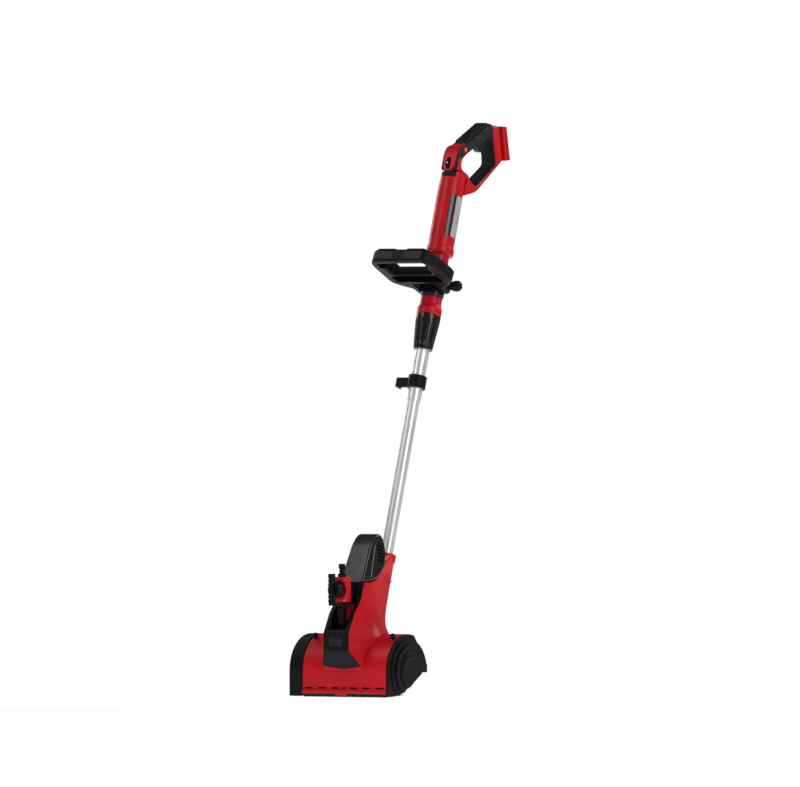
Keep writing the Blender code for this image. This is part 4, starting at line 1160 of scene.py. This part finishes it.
def make_battery_seat():
    """Seat plate with grooves along its sides and channels in its face, and the contact block."""
    seat_plate = [(497.9, 1230), (515, 1229), (529, 1157), (508.9, 1155)]
    base = plate("battery_seat", [seat_plate], -24, 24, edge=1.6, steps=4)
    slope = Vector((529 - 515, 1157 - 1229)).normalized()
    across = Vector((-slope.y, slope.x))
    top = Vector((515, 1229))
    for depth in (5.0, 9.6):
        start = top + slope * 4 - across * depth
        groove = [start, start + across * 1.5, start + across * 1.5 + slope * 90, start + slope * 90]
        for side in (-1, 1):
            low, high = on_side(side, 22.7, 26)
            carve(base, plate("rail_groove", [[tuple(p) for p in groove]], low, high))
    face = axis_frame((0, 520.8, 1197), (0, 0.982, 0.19))
    for x in (-17, 17):
        slot = rectangle((x - 2, x + 2), (-28, 28), 1.8, 5)
        carve(base, plate("channel", [slot], 0, 8, face))
    soften(base, 0.35, 2, 40)
    fit(base, "red", "battery_base", angle=30)
    contact = axis_frame((0, 522, 1193), (0, 0.982, 0.19))
    lump = plate("contact_block", [rectangle((-9, 9), (-14, 14), 2, 4)], GAP, 6, contact,
                 edge=0.7, steps=3)
    blades = [block("blade", (x - 1.1, x + 1.1), (-9, 20), (2.5, 8), contact) for x in (-5.5, 0, 5.5)]
    fit(carve(lump, *blades), "black", "battery_contacts")


# ---------------------------------------------------------------- pieces kept from the frame


def dress_frame():
    """Every CAD node gets its slot's real material, for the inner ones that are shown as they are."""
    plain = ("red", "black", "soft", "grey", "orange", "tube", "steel", "brass", "nylon")
    slots = dict(LOOKS[look] for look in plain)
    for row in frame["record"]["subparts"]:
        node = frame["nodes"][row["node"]]
        node.data.materials.clear()
        node.data.materials.append(slots[row["material_slot"]])


# ---------------------------------------------------------------- stage


FLOOR_DROP = 0.145  # metres below the brush; the head sinks 0.143 m when the telescope is fully out
AIM = TOOL @ Vector((62.9, 42.4, 650))
LIGHTS = [                     # name, azimuth, elevation, distance in metres, size in metres, watts
    ("key", 74, 30, 3.0, 1.6, 42), ("fill", -36, 46, 3.2, 1.6, 32), ("rim", 150, 30, 3.2, 1.2, 26),
    ("rim_left", -110, 20, 3.2, 1.2, 20)]
VIEW_AZIMUTH, VIEW_DISTANCE, SEEN_WIDTH = 34, 30.0, 1.714


def make_floor():
    """Pale floor below the head's lowest reach."""
    floor_mesh = bpy.data.meshes.new("floor")
    bm = bmesh.new()
    bmesh.ops.create_grid(bm, x_segments=1, y_segments=1, size=4.0)
    bm.to_mesh(floor_mesh)
    bm.free()
    floor = bpy.data.objects.new("floor", floor_mesh)
    floor.location = ZERO - Vector((0, 0, FLOOR_DROP))
    bpy.context.scene.collection.objects.link(floor)
    look = Look("pale_floor", 0.6)
    look.colour(look.ramp(look.noise(6, 2), (0.3, (0.86, 0.86, 0.86)), (0.7, (0.90, 0.90, 0.90))))
    look.shader.inputs["Emission Color"].default_value = (1, 1, 1, 1)
    look.shader.inputs["Emission Strength"].default_value = 0.8
    floor_mesh.materials.append(look.material)


def make_world():
    """White behind the object, and a faint even light on it."""
    world = bpy.data.worlds.new("studio")
    bpy.context.scene.world = world
    world.use_nodes = True
    tree = world.node_tree
    ambient = tree.nodes["Background"]
    ambient.inputs["Color"].default_value = (1, 1, 1, 1)
    ambient.inputs["Strength"].default_value = 0.15
    seen = tree.nodes.new("ShaderNodeBackground")
    seen.inputs["Color"].default_value = (1, 1, 1, 1)
    seen.inputs["Strength"].default_value = 1.0
    choice = tree.nodes.new("ShaderNodeMixShader")
    rays = tree.nodes.new("ShaderNodeLightPath")
    tree.links.new(rays.outputs["Is Camera Ray"], choice.inputs["Fac"])
    tree.links.new(ambient.outputs["Background"], choice.inputs[1])
    tree.links.new(seen.outputs["Background"], choice.inputs[2])
    tree.links.new(choice.outputs["Shader"], tree.nodes["World Output"].inputs["Surface"])


def aimed(name, data, back, distance):
    """File a lamp or the camera that far along back from the aim, turned to face it."""
    obj = bpy.data.objects.new(name, data)
    obj.location = AIM + back * distance
    obj.rotation_mode = "QUATERNION"
    obj.rotation_quaternion = (-back).to_track_quat("-Z", "Y")
    bpy.context.scene.collection.objects.link(obj)
    return obj


def make_lights():
    """Soft rectangular lamps round the object."""
    for name, azimuth, elevation, distance, size, power in LIGHTS:
        data = bpy.data.lights.new(name, "AREA")
        data.shape = "RECTANGLE"
        data.size, data.size_y = size * 0.6, size
        data.energy = power
        data.color = (1.0, 0.93, 0.86) if name == "key" else (1.0, 1.0, 1.0)
        a, e = radians(azimuth), radians(elevation)
        back = Vector((sin(a) * cos(e), -cos(a) * cos(e), sin(e)))
        aimed(name, data, back, distance).visible_camera = False


def make_camera():
    """A level camera with a long lens that takes in the whole tool."""
    data = bpy.data.cameras.new("camera")
    data.sensor_width = 36
    data.lens = data.sensor_width * VIEW_DISTANCE / SEEN_WIDTH
    data.clip_end = 100
    azimuth = radians(VIEW_AZIMUTH)
    back = Vector((sin(azimuth), -cos(azimuth), 0))
    bpy.context.scene.camera = aimed("camera", data, back, VIEW_DISTANCE)
    bpy.context.scene.view_settings.view_transform = "Standard"


make_floor()
make_world()
make_lights()
make_camera()
make_cowl()
make_guards()
make_covers()
make_brush()
make_nose()
make_neck()
make_hood()
make_valve()
make_pole()
make_second_handle()
make_handle_neck()
make_shells()
make_soft_grip()
make_controls()
make_battery_seat()
dress_frame()
